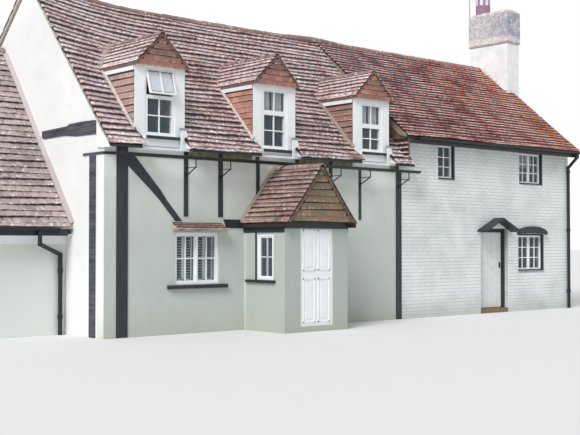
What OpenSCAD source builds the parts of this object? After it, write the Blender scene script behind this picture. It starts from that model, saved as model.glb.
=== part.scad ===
// Half timbered cottage in three ranges under tiled roofs, with three gabled dormers,
// a gabled porch, a plank door under a small hood and a chimney at one end.
// Millimetres, Z up. X runs along the front from left to right and Y runs to the back.

/* [Shown piece] */

// Which piece is drawn

/* [Main range] */

// Length of the timber framed main range
main_length = 7260; // [6900:10:7600]
// Depth of the main and right ranges from front to back
house_depth = 5300; // [5100:10:5600]
// Thickness of every outer wall
wall_thickness = 200; // [160:5:240]
// Height of the main roof's tile edge
main_eaves = 3270; // [3180:10:3350]
// Reach of the eaves beyond the front and rear walls
eaves_reach = 250; // [200:5:300]
// Slope of the main roof in degrees
main_pitch = 45.7; // [45:0.1:48]
// Rise of the main ridge's left end above the rest of the ridge
left_lift = 300; // [0:10:350]
// Length over which that rise dies out
lift_run = 2600; // [2200:100:3200]
// Thickness of a tiled roof with its rafters, square to the slope
roof_thickness = 150; // [120:5:180]
// Thickness of the roof's edge over the gutters
eaves_edge = 60; // [45:5:80]
// Reach of the main roof beyond the left gable
main_verge = 40; // [30:5:80]
// Thickness of the tiles and bedding over a gable, square to the slope
verge_thickness = 60; // [45:5:80]
// Bedding gap between a roof and what carries it
bedding_gap = 0.2; // [0.1:0.1:0.5]

/* [Floors] */

// Top of the ground floor above the ground
ground_floor_top = 100; // [80:5:130]
// Top of the upper floors above the ground
upper_floor_top = 2250; // [2150:10:2350]
// Thickness of the upper floors with their joists
upper_floor_thickness = 180; // [150:5:210]

/* [Right range] */

// Length of the brick right range
right_length = 6060; // [5800:10:6300]
// Height of the right roof's tile edge
right_eaves = 3880; // [3780:10:3980]
// Reach of the right roof beyond its right gable
right_verge = 130; // [90:5:170]
// Reach of the right roof over the main roof at its left end
left_lap = 60; // [40:5:90]

/* [Left wing] */

// Length of the low wing on the left
wing_length = 3600; // [3000:50:4200]
// Set back of the wing's front wall from the main front
wing_set_back = 1280; // [1150:10:1400]
// Reach of the wing's front eaves
wing_eaves_reach = 280; // [230:5:320]
// Height of the wing's front tile edge
wing_eaves = 1900; // [1850:10:1980]
// Slope of the wing's roof in degrees
wing_pitch = 52.3; // [51:0.1:54]
// Distance of the wing's ridge behind the main front
wing_ridge_back = 3660; // [3600:10:3700]
// Reach of the wing's roof beyond its end wall
wing_verge = 100; // [60:5:140]

/* [Timber frame] */

// Depth of the timbers let into the wall
timber_depth = 100; // [80:5:120]
// How far the timbers stand out of the render
timber_proud = 15; // [8:1:25]
// Height of the underside of the wall plate
plate_bottom = 3090; // [3060:5:3110]
// Height of the wall plate
plate_height = 45; // [40:5:90]
// Height of the foot of the upper studs
stud_foot = 2070; // [2040:10:2100]
// Width of the broad post near the left corner
broad_post_width = 223; // [190:1:250]
// Width of the post at the main range's right corner
corner_post_width = 165; // [140:5:190]
// Width of the long diagonal brace at its foot
brace_width = 145; // [120:5:190]

/* [Dormers] */

// Distance of the first dormer's middle from the left corner
first_dormer = 1125; // [1090:5:1170]
// Distance of the last dormer's middle from the main range's right corner
last_dormer = 890; // [850:5:930]
// Width of a dormer over its cheeks
dormer_width = 1050; // [980:5:1100]
// Height of the foot of a dormer's front
dormer_foot = 3200; // [3180:5:3230]
// Height of the underside of a dormer's eaves
dormer_eaves = 4560; // [4540:5:4600]
// Slope of a dormer's roof in degrees
dormer_pitch = 45.5; // [44:0.5:48]
// Thickness of a dormer's roof, square to the slope
dormer_roof_thickness = 40; // [35:5:60]
// Reach of a dormer's roof beyond its cheeks
dormer_side_reach = 30; // [20:5:60]
// Reach of a dormer's gable beyond its front
dormer_front_reach = 70; // [45:5:80]
// Thickness of a dormer's cheeks and front
dormer_wall = 90; // [75:5:110]
// Width of a dormer's window
dormer_window_width = 630; // [600:5:660]
// Height of the last dormer's window sill above the foot of its front
dormer_sill_rise = 270; // [250:5:290]
// Height of the last dormer's window
dormer_window_height = 1010; // [980:5:1050]
// Height of the transom's middle above that window's sill
dormer_casement_height = 535; // [510:5:560]
// How far the first dormer's top light stands open, in degrees
light_open = 17; // [10:1:22]

/* [Porch] */

// Distance of the porch's middle from the left corner
porch_middle = 3780; // [3740:5:3820]
// Width of the porch over its walls
porch_width = 1552; // [1500:4:1600]
// Projection of the porch's walls
porch_depth = 1150; // [1100:10:1200]
// Reach of the porch's roof from the main front
porch_reach = 1311; // [1270:1:1350]
// Thickness of the porch's walls
porch_wall = 90; // [80:5:110]
// Height of the porch roof's tile edge
porch_eaves = 1970; // [1950:5:1990]
// Reach of the porch's roof beyond its side walls
porch_side_reach = 65; // [50:5:80]
// Slope of the porch roof in degrees
porch_pitch = 51.5; // [50:0.5:52]
// Thickness of the porch roof, square to the slope
porch_roof_thickness = 55; // [45:5:70]
// Height of the foot of the porch's gable
porch_gable_foot = 2000; // [1990:5:2020]
// Height of the lintel under the porch's gable
porch_lintel_height = 140; // [120:5:150]
// Width of the doorway at the front of the porch
porch_doorway = 800; // [740:10:860]

/* [Windows] */

// Width of a window's outer frame members
frame_width = 36; // [30:2:50]
// Depth of a window's frame from front to back
frame_depth = 70; // [60:5:80]
// Width of the members of an opening sash
sash_width = 26; // [22:1:36]
// Thickness of a sash
sash_thickness = 36; // [30:2:42]
// Thickness of the glass
glass_thickness = 4; // [3:1:6]
// How far the brick range's windows are set back
right_recess = 50; // [40:5:100]

/* [Cottage door] */

// Distance of the doorway's left edge from the right range's left corner
doorway_set_in = 2640; // [2590:10:2690]
// Width of the doorway in the wall
doorway_width = 1010; // [970:10:1050]
// Height of the doorway's head above the ground
doorway_head = 1930; // [1900:5:1950]
// Width of the door frame's jambs and head
jamb_width = 75; // [60:5:85]
// Depth of the door frame from front to back
jamb_depth = 100; // [85:5:115]
// Thickness of the door leaf
leaf_thickness = 45; // [40:1:55]
// Gap between the door leaf and its frame
door_gap = 8; // [7.5:0.5:9]
// Radius of the hinge pins
pin_radius = 7.6; // [6:0.2:9]
// Clearance between a hinge pin and its knuckle
pin_clearance = 0.4; // [0.3:0.1:0.6]
// Distance of the hinge pins behind the face of the door leaf
pin_offset = 14; // [14:1:16]

/* [Rainwater goods] */

// Height of the main range's front gutter
main_gutter = 3115; // [3090:5:3140]
// Outer radius of the half round gutters
gutter_radius = 55; // [45:1:65]
// Wall thickness of the gutters
gutter_wall = 6; // [4:1:8]
// Outer radius of the downpipes
pipe_radius = 38; // [32:1:42]
// Gap between the downpipes and the wall
pipe_stand_off = 22; // [15:1:30]

/* [Chimney] */

// Width of the stack along the front
stack_width = 486; // [450:2:520]
// Distance of the stack's left face inside the right gable's face
stack_lap = 120; // [100:5:140]
// Distance of the stack's front face behind the main front
stack_front = 1737; // [1700:1:1780]
// Depth of the stack from front to back
stack_depth = 1233; // [1180:1:1280]
// Height of the projecting band on the stack
band_height = 6830; // [6780:10:6900]
// How far the upper part of the stack stands out from the shaft
band_reach = 25; // [15:1:35]
// Height of the stack's top above the ground
stack_top = 7640; // [7500:10:7750]
// Radius of the chimney pot
pot_radius = 190; // [165:5:205]
// Height of the chimney pot
pot_height = 640; // [560:10:720]

/* [Hidden] */

$fn = 32;

// Heights and places that follow from the sizes above
right_end = main_length + right_length;
ridge_back = house_depth / 2;
ridge_height = main_eaves + (ridge_back + eaves_reach) * tan(main_pitch);
right_pitch = atan((ridge_height - right_eaves) / (ridge_back + eaves_reach));
wing_ridge_height = wing_eaves + (wing_ridge_back - wing_set_back + wing_eaves_reach)
    * tan(wing_pitch);
dormer_half = dormer_width / 2;
dormer_spacing = (main_length - last_dormer - first_dormer) / 2;
dormer_rise = dormer_roof_thickness / cos(dormer_pitch);
porch_half = porch_width / 2 + porch_side_reach;
porch_ridge = porch_eaves + porch_half * tan(porch_pitch);
porch_rise = porch_roof_thickness / cos(porch_pitch);
doorway_left = main_length + doorway_set_in;
doorway_right = doorway_left + doorway_width;
leaf_width = doorway_width - 2 * jamb_width - 2 * door_gap;
leaf_foot = ground_floor_top + door_gap + 4;
leaf_height = doorway_head - jamb_width - door_gap - leaf_foot;
leaf_left = doorway_left + jamb_width + door_gap;
stack_left = right_end - stack_lap;
stack_right = stack_left + stack_width;
gutter_axis = eaves_reach + gutter_radius;
pipe_out = pipe_radius + pipe_stand_off;
pin_y = wall_thickness + pin_offset;
knuckle_radius = pin_offset;
left_reach = wing_length + wing_verge;
rear_reach = house_depth + gutter_axis + gutter_radius;
middle_x = (stack_right - left_reach) / 2;
middle_y = (rear_reach - porch_reach) / 2;
lift_stations = [-main_verge, wall_thickness, 600, 1200, 1800, lift_run];
far = 20000;

// Distance behind the front where the right roof comes down to 60 above the main roof
cross_gable_back = (right_rest(0) - main_top(0) - 60) / (tan(main_pitch) - tan(right_pitch));

// Openings as left edge, sill height, width and height
front_opening = [1451, 873, 964, 908];
right_openings = [[main_length + 1190, 3005, 530, 765], [main_length + 4090, 3000, 885, 750],
    [main_length + 4040, 950, 972, 850]];
right_lights = [1, 2, 2];
main_rear_openings = [[1500, 930, 860, 870], [main_length - 2560, 930, 860, 870]];
right_rear_openings = [[main_length + 1140, 950, 985, 850], [main_length + 4025, 950, 985, 850],
    [main_length + 1180, 3000, 880, 750], [main_length + 4115, 3000, 880, 750]];
wing_rear_opening = [-2300, 930, 860, 800];
porch_side_opening = [-842, 940, 453, 814];
upper_stud_places = [[1634, 88], [2398, 102], [3290, 80], [4240, 150], [5160, 92], [5995, 65]];

// How much the three dormers differ from the last one
eaves_lifts = [115, 40, 0];
sill_drops = [10, 90, 0];
window_growths = [190, 140, 0];
casement_growths = [155, 155, 0];

// Height of each roof's upper surface at a distance y behind the main front
function main_top(y) = y > ridge_back ? right_top(y)
    : main_eaves + (y + eaves_reach) * tan(main_pitch);
function right_top(y) = right_eaves + (min(y, house_depth - y) + eaves_reach) * tan(right_pitch);
function wing_top(y) = wing_ridge_height - abs(y - wing_ridge_back) * tan(wing_pitch);

// Height of each roof's lower surface
function main_under(y) = main_top(y) - roof_thickness / cos(y > ridge_back ? right_pitch : main_pitch);
function right_under(y) = right_top(y) - roof_thickness / cos(right_pitch);
function wing_under(y) = wing_top(y) - roof_thickness / cos(wing_pitch);
function main_bed(y) = main_top(y) - verge_thickness / cos(y > ridge_back ? right_pitch : main_pitch);
function right_bed(y) = right_top(y) - verge_thickness / cos(right_pitch);
function wing_bed(y) = wing_top(y) - verge_thickness / cos(wing_pitch);

// Height of the walls below the roofs and below the verges
function main_rest(y) = main_under(y) - bedding_gap;
function right_rest(y) = right_under(y) - bedding_gap;
function wing_rest(y) = wing_under(y) - bedding_gap;
function main_verge_rest(y) = main_bed(y) - bedding_gap;
function gable_rest(y) = main_verge_rest(y) + lift(wall_thickness) * share(y);
function right_verge_rest(y) = right_bed(y) - bedding_gap;
function wing_verge_rest(y) = wing_bed(y) - bedding_gap;

// Rise of the main ridge at x, and the share of it that a point at a distance y gets
function lift(x) = left_lift * pow(max(0, 1 - max(x, 0) / lift_run), 2);
function share(y) = (min(y, house_depth - y) + eaves_reach) / (ridge_back + eaves_reach);

// Heights at the porch and at each dormer
function porch_top(x) = porch_ridge - abs(x - porch_middle) * tan(porch_pitch);
function porch_rest(x) = porch_top(x) - porch_rise - bedding_gap;
function dormer_middle(i) = first_dormer + i * dormer_spacing;
function eaves_at(i) = dormer_eaves + eaves_lifts[i];
function apex_at(i) = eaves_at(i) + dormer_half * tan(dormer_pitch);
function sill_at(i) = dormer_foot + dormer_sill_rise - sill_drops[i];
function head_at(i) = sill_at(i) + dormer_window_height + window_growths[i];
function transom_at(i) = sill_at(i) + dormer_casement_height + casement_growths[i];
function top_light_height(i) = head_at(i) - transom_at(i) - 1.5 * frame_width;

// Moves the whole building so that its ground middle is at the origin
module placed() {
    translate([-middle_x, -middle_y, 0]) children();
}

// Extrudes a flat shape of distance back and height along X
module along_x(from, to) {
    translate([from, 0, 0]) rotate([90, 0, 90]) linear_extrude(to - from) children();
}

// Extrudes a flat shape of X and height along Y
module along_y(from, to) {
    translate([0, to, 0]) rotate([90, 0, 0]) linear_extrude(to - from) children();
}

// Block between two corners
module block(low, high) {
    translate(low) cube(high - low);
}

// Round bar from one point to another
module rod(start, end, radius) {
    step = end - start;
    translate(start)
        rotate([0, acos(step[2] / norm(step)), atan2(step[1], step[0])])
            cylinder(h = norm(step), r = radius);
}

// Pipe that follows a line of points, with round bends
module pipe_run(points, radius) {
    for (i = [0 : len(points) - 2])
        rod(points[i], points[i + 1], radius);
    for (i = [1 : len(points) - 2])
        translate(points[i]) sphere(r = radius + 3);
}

// Hole through a wall in the front or rear wall's plane
module wall_hole(opening, y_from, y_to) {
    block([opening[0], y_from, opening[1]],
        [opening[0] + opening[2], y_to, opening[1] + opening[3]]);
}

// Window frame with a number of lights side by side, front face at y
module window_frame(opening, y, lights) {
    clear = (opening[2] - (lights + 1) * frame_width) / lights;
    difference() {
        wall_hole(opening, y, y + frame_depth);
        for (i = [0 : lights - 1])
            block([opening[0] + frame_width + i * (clear + frame_width), y - 1,
                    opening[1] + frame_width],
                [opening[0] + (i + 1) * (clear + frame_width), y + frame_depth + 1,
                    opening[1] + opening[3] - frame_width]);
    }
    for (i = [0 : lights - 1])
        sash_ring([opening[0] + frame_width + i * (clear + frame_width),
                y + (frame_depth - sash_thickness) / 2, opening[1] + frame_width],
            clear, opening[3] - 2 * frame_width);
}

// Sash that fills one light
module sash_ring(corner, width, height) {
    translate(corner)
        difference() {
            cube([width, sash_thickness, height]);
            translate([sash_width, -1, sash_width])
                cube([width - 2 * sash_width, sash_thickness + 2, height - 2 * sash_width]);
        }
}

// Panes behind the sashes of one window
module window_panes(opening, y, lights) {
    clear = (opening[2] - (lights + 1) * frame_width) / lights;
    for (i = [0 : lights - 1])
        block([opening[0] + frame_width + i * (clear + frame_width) + sash_width,
                y + (frame_depth - glass_thickness) / 2, opening[1] + frame_width + sash_width],
            [opening[0] + (i + 1) * (clear + frame_width) - sash_width,
                y + (frame_depth + glass_thickness) / 2,
                opening[1] + opening[3] - frame_width - sash_width]);
}

// Outlines of the ranges up to the bedding on their upper surfaces
module main_outline(rise = 0) {
    polygon([[-eaves_reach, 0], [house_depth + eaves_reach, 0],
        [house_depth + eaves_reach, right_eaves + bedding_gap],
        [ridge_back, ridge_height + rise + bedding_gap],
        [-eaves_reach, main_eaves + bedding_gap]]);
}

// Left end of the main range up to the bedding, where its ridge rises
module raised_outline() {
    for (i = [0 : len(lift_stations) - 2]) hull() {
        along_x(lift_stations[i] - (i == 0 ? 10 : 0), lift_stations[i] + 1)
            main_outline(lift(lift_stations[i]));
        along_x(lift_stations[i + 1] - 1, lift_stations[i + 1])
            main_outline(lift(lift_stations[i + 1]));
    }
}

module right_outline() {
    polygon([[-eaves_reach, right_eaves + bedding_gap], [ridge_back, 0],
        [house_depth + eaves_reach, right_eaves + bedding_gap],
        [ridge_back, ridge_height + bedding_gap]]);
}

module wing_outline() {
    polygon([[0, wing_top(0) + bedding_gap], [house_depth, wing_top(house_depth) + bedding_gap],
        [wing_ridge_back, wing_ridge_height + bedding_gap]]);
}

// Front slope of a roof with a thin edge over the gutter
module front_slope(top_eaves, under_wall, under_ridge, top_ridge) {
    polygon([[-eaves_reach, top_eaves], [ridge_back, top_ridge], [ridge_back, under_ridge],
        [0, under_wall], [-eaves_reach, top_eaves - eaves_edge]]);
}

// Outside shape of one dormer below the underside of its roof
module dormer_outline(i) {
    polygon([[-dormer_half, 0], [dormer_half, 0], [dormer_half, eaves_at(i)],
        [0, apex_at(i)], [-dormer_half, eaves_at(i)]]);
}

// Space below the main roof's upper or lower surface, made long enough to cut with
module below_main(drop) {
    along_x(-1000, main_length + 1000)
        polygon([[-2000, -far], [ridge_back + 1000, -far],
            [ridge_back + 1000, ridge_height + 1000 * tan(main_pitch) - drop],
            [-2000, main_top(-2000) - drop]]);
}

// Moves a piece of one dormer to its middle
module at_dormer(i) {
    translate([dormer_middle(i), 0, 0]) children();
}

// Walls of the main range
module main_front_wall() {
    color("WhiteSmoke") placed() difference() {
        along_x(0, main_length)
            polygon([[0, 0], [wall_thickness, 0], [wall_thickness, main_rest(wall_thickness)],
                [0, main_rest(0)]]);
        for (i = [0 : 2]) at_dormer(i)
            block([-dormer_half, -10, dormer_foot], [dormer_half, wall_thickness + 10, far]);
        wall_hole(front_opening, -10, wall_thickness + 10);
        block([porch_middle - porch_doorway / 2, -10, ground_floor_top],
            [porch_middle + porch_doorway / 2, wall_thickness + 10, doorway_head]);
        timber_studs();
        timber_braces();
        timber_plate();
    }
}

module main_rear_wall() {
    color("WhiteSmoke") placed() difference() {
        along_x(0, main_length)
            polygon([[house_depth, 0], [house_depth - wall_thickness, 0],
                [house_depth - wall_thickness, main_rest(house_depth - wall_thickness)],
                [house_depth, main_rest(house_depth)]]);
        for (opening = main_rear_openings)
            wall_hole(opening, house_depth - wall_thickness - 10, house_depth + 10);
    }
}

module left_gable_wall() {
    inner = house_depth - wall_thickness;
    color("WhiteSmoke") placed() difference() {
        along_x(0, wall_thickness)
            polygon([[wall_thickness, 0], [inner, 0], [inner, main_rest(inner)],
                [house_depth, main_rest(house_depth)],
                [house_depth, gable_rest(house_depth)],
                [ridge_back, gable_rest(ridge_back)], [0, gable_rest(0)],
                [0, main_rest(0)], [wall_thickness, main_rest(wall_thickness)]]);
        gable_timbers();
    }
}

module cross_wall() {
    color("WhiteSmoke") placed() along_x(main_length, main_length + wall_thickness)
        polygon([[wall_thickness, 0], [house_depth - wall_thickness, 0],
            [house_depth - wall_thickness, right_rest(wall_thickness)],
            [ridge_back, right_rest(ridge_back)],
            [wall_thickness, right_rest(wall_thickness)]]);
}

// Walls of the right range
module right_front_strip(from, to) {
    along_x(from, to)
        polygon([[0, 0], [wall_thickness, 0], [wall_thickness, right_rest(wall_thickness)],
            [0, right_rest(0)]]);
}

module right_wall_left() {
    color("WhiteSmoke") placed() difference() {
        right_front_strip(main_length, doorway_left);
        wall_hole(right_openings[0], -10, wall_thickness + 10);
    }
}

module right_wall_right() {
    color("WhiteSmoke") placed() difference() {
        right_front_strip(doorway_right, right_end);
        wall_hole(right_openings[1], -10, wall_thickness + 10);
        wall_hole(right_openings[2], -10, wall_thickness + 10);
    }
}

module right_wall_over_door() {
    color("WhiteSmoke") placed() difference() {
        right_front_strip(doorway_left, doorway_right);
        block([0, -10, -10], [far, wall_thickness + 10, doorway_head]);
    }
}

module right_rear_wall() {
    color("WhiteSmoke") placed() difference() {
        along_x(main_length, right_end)
            polygon([[house_depth, 0], [house_depth - wall_thickness, 0],
                [house_depth - wall_thickness, right_rest(wall_thickness)],
                [house_depth, right_rest(0)]]);
        for (opening = right_rear_openings)
            wall_hole(opening, house_depth - wall_thickness - 10, house_depth + 10);
    }
}

module right_gable_wall() {
    inner = house_depth - wall_thickness;
    color("WhiteSmoke") placed() difference() {
        along_x(right_end - wall_thickness, right_end)
            polygon([[wall_thickness, 0], [inner, 0], [inner, right_rest(inner)],
                [house_depth, right_rest(house_depth)],
                [house_depth, right_verge_rest(house_depth)],
                [ridge_back, right_verge_rest(ridge_back)], [0, right_verge_rest(0)],
                [0, right_rest(0)], [wall_thickness, right_rest(wall_thickness)]]);
        stack_block();
    }
}

// Walls of the wing
module wing_front_wall() {
    color("Ivory") placed() along_x(-wing_length, 0)
        polygon([[wing_set_back, 0], [wing_set_back + wall_thickness, 0],
            [wing_set_back + wall_thickness, wing_rest(wing_set_back + wall_thickness)],
            [wing_set_back, wing_rest(wing_set_back)]]);
}

module wing_rear_wall() {
    color("Ivory") placed() difference() {
        along_x(-wing_length, 0)
            polygon([[house_depth, 0], [house_depth - wall_thickness, 0],
                [house_depth - wall_thickness, wing_rest(house_depth - wall_thickness)],
                [house_depth, wing_rest(house_depth)]]);
        wall_hole(wing_rear_opening, house_depth - wall_thickness - 10, house_depth + 10);
    }
}

module wing_end_wall() {
    front = wing_set_back + wall_thickness;
    back = house_depth - wall_thickness;
    color("Ivory") placed() along_x(-wing_length, wall_thickness - wing_length)
        polygon([[front, 0], [back, 0], [back, wing_rest(back)],
            [house_depth, wing_rest(house_depth)], [house_depth, wing_verge_rest(house_depth)],
            [wing_ridge_back, wing_verge_rest(wing_ridge_back)],
            [wing_set_back, wing_verge_rest(wing_set_back)],
            [wing_set_back, wing_rest(wing_set_back)], [front, wing_rest(front)]]);
}

// Floors
module ground_floors() {
    inner = house_depth - wall_thickness;
    color("Tan") placed() {
        block([wall_thickness, wall_thickness, 0], [main_length, inner, ground_floor_top]);
        block([main_length + wall_thickness, wall_thickness, 0],
            [right_end - wall_thickness, inner, ground_floor_top]);
        block([wall_thickness - wing_length, wing_set_back + wall_thickness, 0],
            [0, inner, ground_floor_top]);
        block([porch_middle - porch_width / 2 + porch_wall, porch_wall - porch_depth, 0],
            [porch_middle + porch_width / 2 - porch_wall, 0, ground_floor_top]);
        block([doorway_left, 0, 0], [doorway_right, wall_thickness, ground_floor_top]);
    }
}

module upper_floors() {
    color("Tan") placed() {
        block([wall_thickness, wall_thickness, upper_floor_top - upper_floor_thickness],
            [main_length, house_depth - wall_thickness, upper_floor_top]);
        difference() {
            block([main_length + wall_thickness, wall_thickness,
                    upper_floor_top - upper_floor_thickness],
                [right_end - wall_thickness, house_depth - wall_thickness, upper_floor_top]);
            stack_block();
        }
    }
}

// Timbers let into the front wall
module broad_post() {
    block([243, -timber_proud, 0],
        [243 + broad_post_width, timber_depth, plate_bottom + 155]);
}

module timber_studs() {
    broad_post();
    block([main_length - corner_post_width, -timber_proud, 0],
        [main_length, timber_depth, plate_bottom]);
    difference() {
        for (stud = upper_stud_places)
            block([stud[0], -timber_proud, stud_foot],
                [stud[0] + stud[1], timber_depth, plate_bottom]);
        porch_space();
    }
}

module timber_braces() {
    along_y(-timber_proud, timber_depth)
        polygon([[466, plate_bottom], [602, plate_bottom], [1131, 2521], [1276, 2333],
            [1449 + brace_width, stud_foot - 85], [1449, stud_foot - 85], [1119, 2345],
            [936, 2515], [466, 2925]]);
    difference() {
        along_y(-timber_proud, timber_depth)
            polygon([[2515, 2030], [2585, 1875], [3290, 1875], [3290, 2030]]);
        porch_space();
    }
}

module timber_plate() {
    difference() {
        block([0, -timber_proud, plate_bottom],
            [main_length, timber_depth, plate_bottom + plate_height]);
        broad_post();
    }
}

module gable_timbers() {
    along_x(-timber_proud, timber_depth)
        polygon([[wall_thickness + 30, 3440], [900, 3450], [1300, 3490], [2050, 3480],
            [2110, 3510], [2110, 3625], [1200, 3650], [1150, 3680], [700, 3690],
            [wall_thickness + 70, 3680], [wall_thickness + 30, 3640]]);
}

module front_studs() {
    color("DimGray") placed() timber_studs();
}

module front_braces() {
    color("DimGray") placed() timber_braces();
}

module wall_plate() {
    color("DimGray") placed() timber_plate();
}

module gable_beams() {
    color("DimGray") placed() {
        gable_timbers();
        block([-timber_proud, 0, plate_bottom], [0, 660, plate_bottom + plate_height]);
        block([-timber_proud, 250, 0], [0, 450, plate_bottom]);
    }
}

// Slope of the main roof from its eaves height, its underside at the wall and at the ridge,
// and the same two heights where it lies thinner on the gable
module main_slope(eaves, wall_under, ridge_under, wall_bed, ridge_bed) {
    along_x(lift_run, main_length)
        front_slope(eaves, wall_under, ridge_under, ridge_height);
    for (i = [1 : len(lift_stations) - 2]) hull() {
        along_x(lift_stations[i], lift_stations[i] + 1)
            front_slope(eaves, wall_under, ridge_under, ridge_height + lift(lift_stations[i]));
        along_x(lift_stations[i + 1] - 1, lift_stations[i + 1])
            front_slope(eaves, wall_under, ridge_under,
                ridge_height + lift(lift_stations[i + 1]));
    }
    hull() for (x = [-main_verge, wall_thickness - 1])
        along_x(x, x + 1)
            front_slope(eaves, wall_bed + lift(x) * share(0), ridge_bed + lift(x),
                ridge_height + lift(x));
}

// Roofs
module main_front_roof() {
    color("IndianRed") placed() difference() {
        union() {
            main_slope(main_eaves, main_under(0), main_under(ridge_back), main_bed(0),
                main_bed(ridge_back));
            intersection() {
                along_x(main_length - 1, main_length + 140)
                    front_slope(main_eaves, main_under(0), main_under(ridge_back), ridge_height);
                block([0, -far, 0], [far, 0, far]);
            }
        }
        for (i = [0 : 2]) at_dormer(i)
            along_y(-far, ridge_back - 700) dormer_outline(i);
    }
}

module main_rear_roof() {
    color("IndianRed") placed() translate([0, house_depth, 0]) mirror([0, 1, 0])
        main_slope(right_eaves, right_under(0), right_under(ridge_back), right_bed(0),
            right_bed(ridge_back));
}

module right_slope() {
    difference() {
        union() {
            along_x(main_length - left_lap, right_end - wall_thickness)
                front_slope(right_eaves, right_under(0), right_under(ridge_back), ridge_height);
            along_x(right_end - wall_thickness, right_end + right_verge)
                front_slope(right_eaves, right_bed(0), right_bed(ridge_back), ridge_height);
        }
        along_x(main_length - left_lap - 10, main_length) main_outline();
    }
}

module right_front_roof() {
    color("Brown") placed() difference() {
        right_slope();
        stack_block();
    }
}

module right_rear_roof() {
    color("Brown") placed() difference() {
        translate([0, house_depth, 0]) mirror([0, 1, 0]) right_slope();
        block([0, ridge_back, 0], [main_length, far, far]);
        stack_block();
    }
}

// Slope of the wing's roof from its ridge to an eaves edge beyond a wall
module wing_slope(edge, wall) {
    along_x(wall_thickness - wing_length, 0)
        polygon([[edge, wing_top(edge)], [wing_ridge_back, wing_ridge_height],
            [wing_ridge_back, wing_under(wing_ridge_back)], [wall, wing_under(wall)],
            [edge, wing_top(edge) - eaves_edge]]);
    along_x(-left_reach, wall_thickness - wing_length)
        polygon([[edge, wing_top(edge)], [wing_ridge_back, wing_ridge_height],
            [wing_ridge_back, wing_bed(wing_ridge_back)], [wall, wing_bed(wall)],
            [edge, wing_top(edge) - eaves_edge]]);
}

module wing_front_roof() {
    edge = wing_set_back - wing_eaves_reach;
    color("RosyBrown") placed() difference() {
        wing_slope(edge, wing_set_back);
        main_verge_space();
    }
}

module wing_rear_roof() {
    edge = house_depth + eaves_reach;
    color("RosyBrown") placed() difference() {
        wing_slope(edge, house_depth);
        main_verge_space();
    }
}

// Room that the wing's roof leaves for the main roof's verge
module main_verge_space() {
    along_x(-main_verge, 10)
        polygon([[-eaves_reach, main_verge_rest(-eaves_reach)],
            [ridge_back, main_verge_rest(ridge_back)],
            [house_depth + eaves_reach, main_verge_rest(house_depth + eaves_reach)],
            [house_depth + eaves_reach, far], [-eaves_reach, far]]);
}

module ridge_disc(rise) {
    translate([ridge_back, ridge_height + rise - 60]) circle(r = 100);
}

module ridge_tiles() {
    color("Sienna") placed() {
        difference() {
            union() {
                along_x(lift_run, stack_left) ridge_disc(0);
                for (i = [0 : len(lift_stations) - 2]) hull() {
                    along_x(lift_stations[i], lift_stations[i] + 1)
                        ridge_disc(lift(lift_stations[i]));
                    along_x(lift_stations[i + 1] - 1, lift_stations[i + 1])
                        ridge_disc(lift(lift_stations[i + 1]));
                }
            }
            raised_outline();
            along_x(lift_run - 1, main_length - left_lap) main_outline();
            along_x(main_length - left_lap, far) right_outline();
        }
        difference() {
            along_x(-left_reach, -main_verge)
                translate([wing_ridge_back, wing_ridge_height - 60]) circle(r = 100);
            along_x(-left_reach - 10, 0) wing_outline();
        }
    }
}

module cross_gable_boards() {
    color("SaddleBrown") placed() along_x(main_length - 25, main_length)
        polygon([[-eaves_reach, main_eaves + bedding_gap],
            [-eaves_reach, right_eaves - eaves_edge - bedding_gap], [0, right_rest(0)],
            [cross_gable_back, right_rest(cross_gable_back)],
            [cross_gable_back, main_top(cross_gable_back) + bedding_gap]]);
}

module eaves_boards() {
    color("White") placed() {
        for (i = [0 : 2]) at_dormer(i) for (side = [-1, 1])
            along_x(side * (dormer_half - 10) - 10, side * (dormer_half - 10) + 10)
                polygon([[-eaves_reach, main_eaves - eaves_edge], [0, main_under(0)],
                    [0, main_top(0) + 20], [-eaves_reach, main_eaves + 20]]);
        along_x(-main_verge, 0)
            polygon([[-eaves_reach, main_eaves - eaves_edge - bedding_gap],
                [0, gable_rest(0)], [180, gable_rest(180)],
                [180, main_eaves - eaves_edge], [-eaves_reach, main_eaves - eaves_edge - 20]]);
    }
}

// Dormers
module dormer_fronts() {
    color("White") placed() for (i = [0 : 2]) at_dormer(i) difference() {
        union() {
            block([-dormer_half, 0, dormer_foot], [dormer_half, dormer_wall, eaves_at(i)]);
            block([20 - dormer_half, -25, dormer_foot + 15],
                [dormer_half - 20, 0, sill_at(i) - 60]);
            block([20 - dormer_half, -60, dormer_foot + 15],
                [dormer_half - 20, -25, dormer_foot + 60]);
            block([-dormer_window_width / 2 - 25, -45, sill_at(i) - 60],
                [dormer_window_width / 2 + 25, 0, sill_at(i)]);
        }
        block([-dormer_window_width / 2, -10, sill_at(i)],
            [dormer_window_width / 2, dormer_wall + 10, head_at(i)]);
    }
}

module dormer_cheeks() {
    color("Peru") placed() difference() {
        for (i = [0 : 2]) at_dormer(i) for (side = [-1, 1])
            along_y(dormer_wall, ridge_back)
                polygon([[side * dormer_half, 0], [side * (dormer_half - dormer_wall), 0],
                    [side * (dormer_half - dormer_wall),
                        eaves_at(i) + dormer_wall * tan(dormer_pitch) - bedding_gap],
                    [side * dormer_half, eaves_at(i) - bedding_gap]]);
        below_main(roof_thickness / cos(main_pitch));
    }
}

module dormer_roofs() {
    drop = dormer_side_reach * tan(dormer_pitch);
    half = dormer_half + dormer_side_reach;
    color("IndianRed") placed() difference() {
        for (i = [0 : 2]) at_dormer(i) along_y(-dormer_front_reach - 15, ridge_back)
            polygon([[-half, eaves_at(i) - drop], [0, apex_at(i)], [half, eaves_at(i) - drop],
                [half, eaves_at(i) - drop + dormer_rise], [0, apex_at(i) + dormer_rise],
                [-half, eaves_at(i) - drop + dormer_rise]]);
        below_main(-bedding_gap);
        raised_outline();
    }
}

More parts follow.
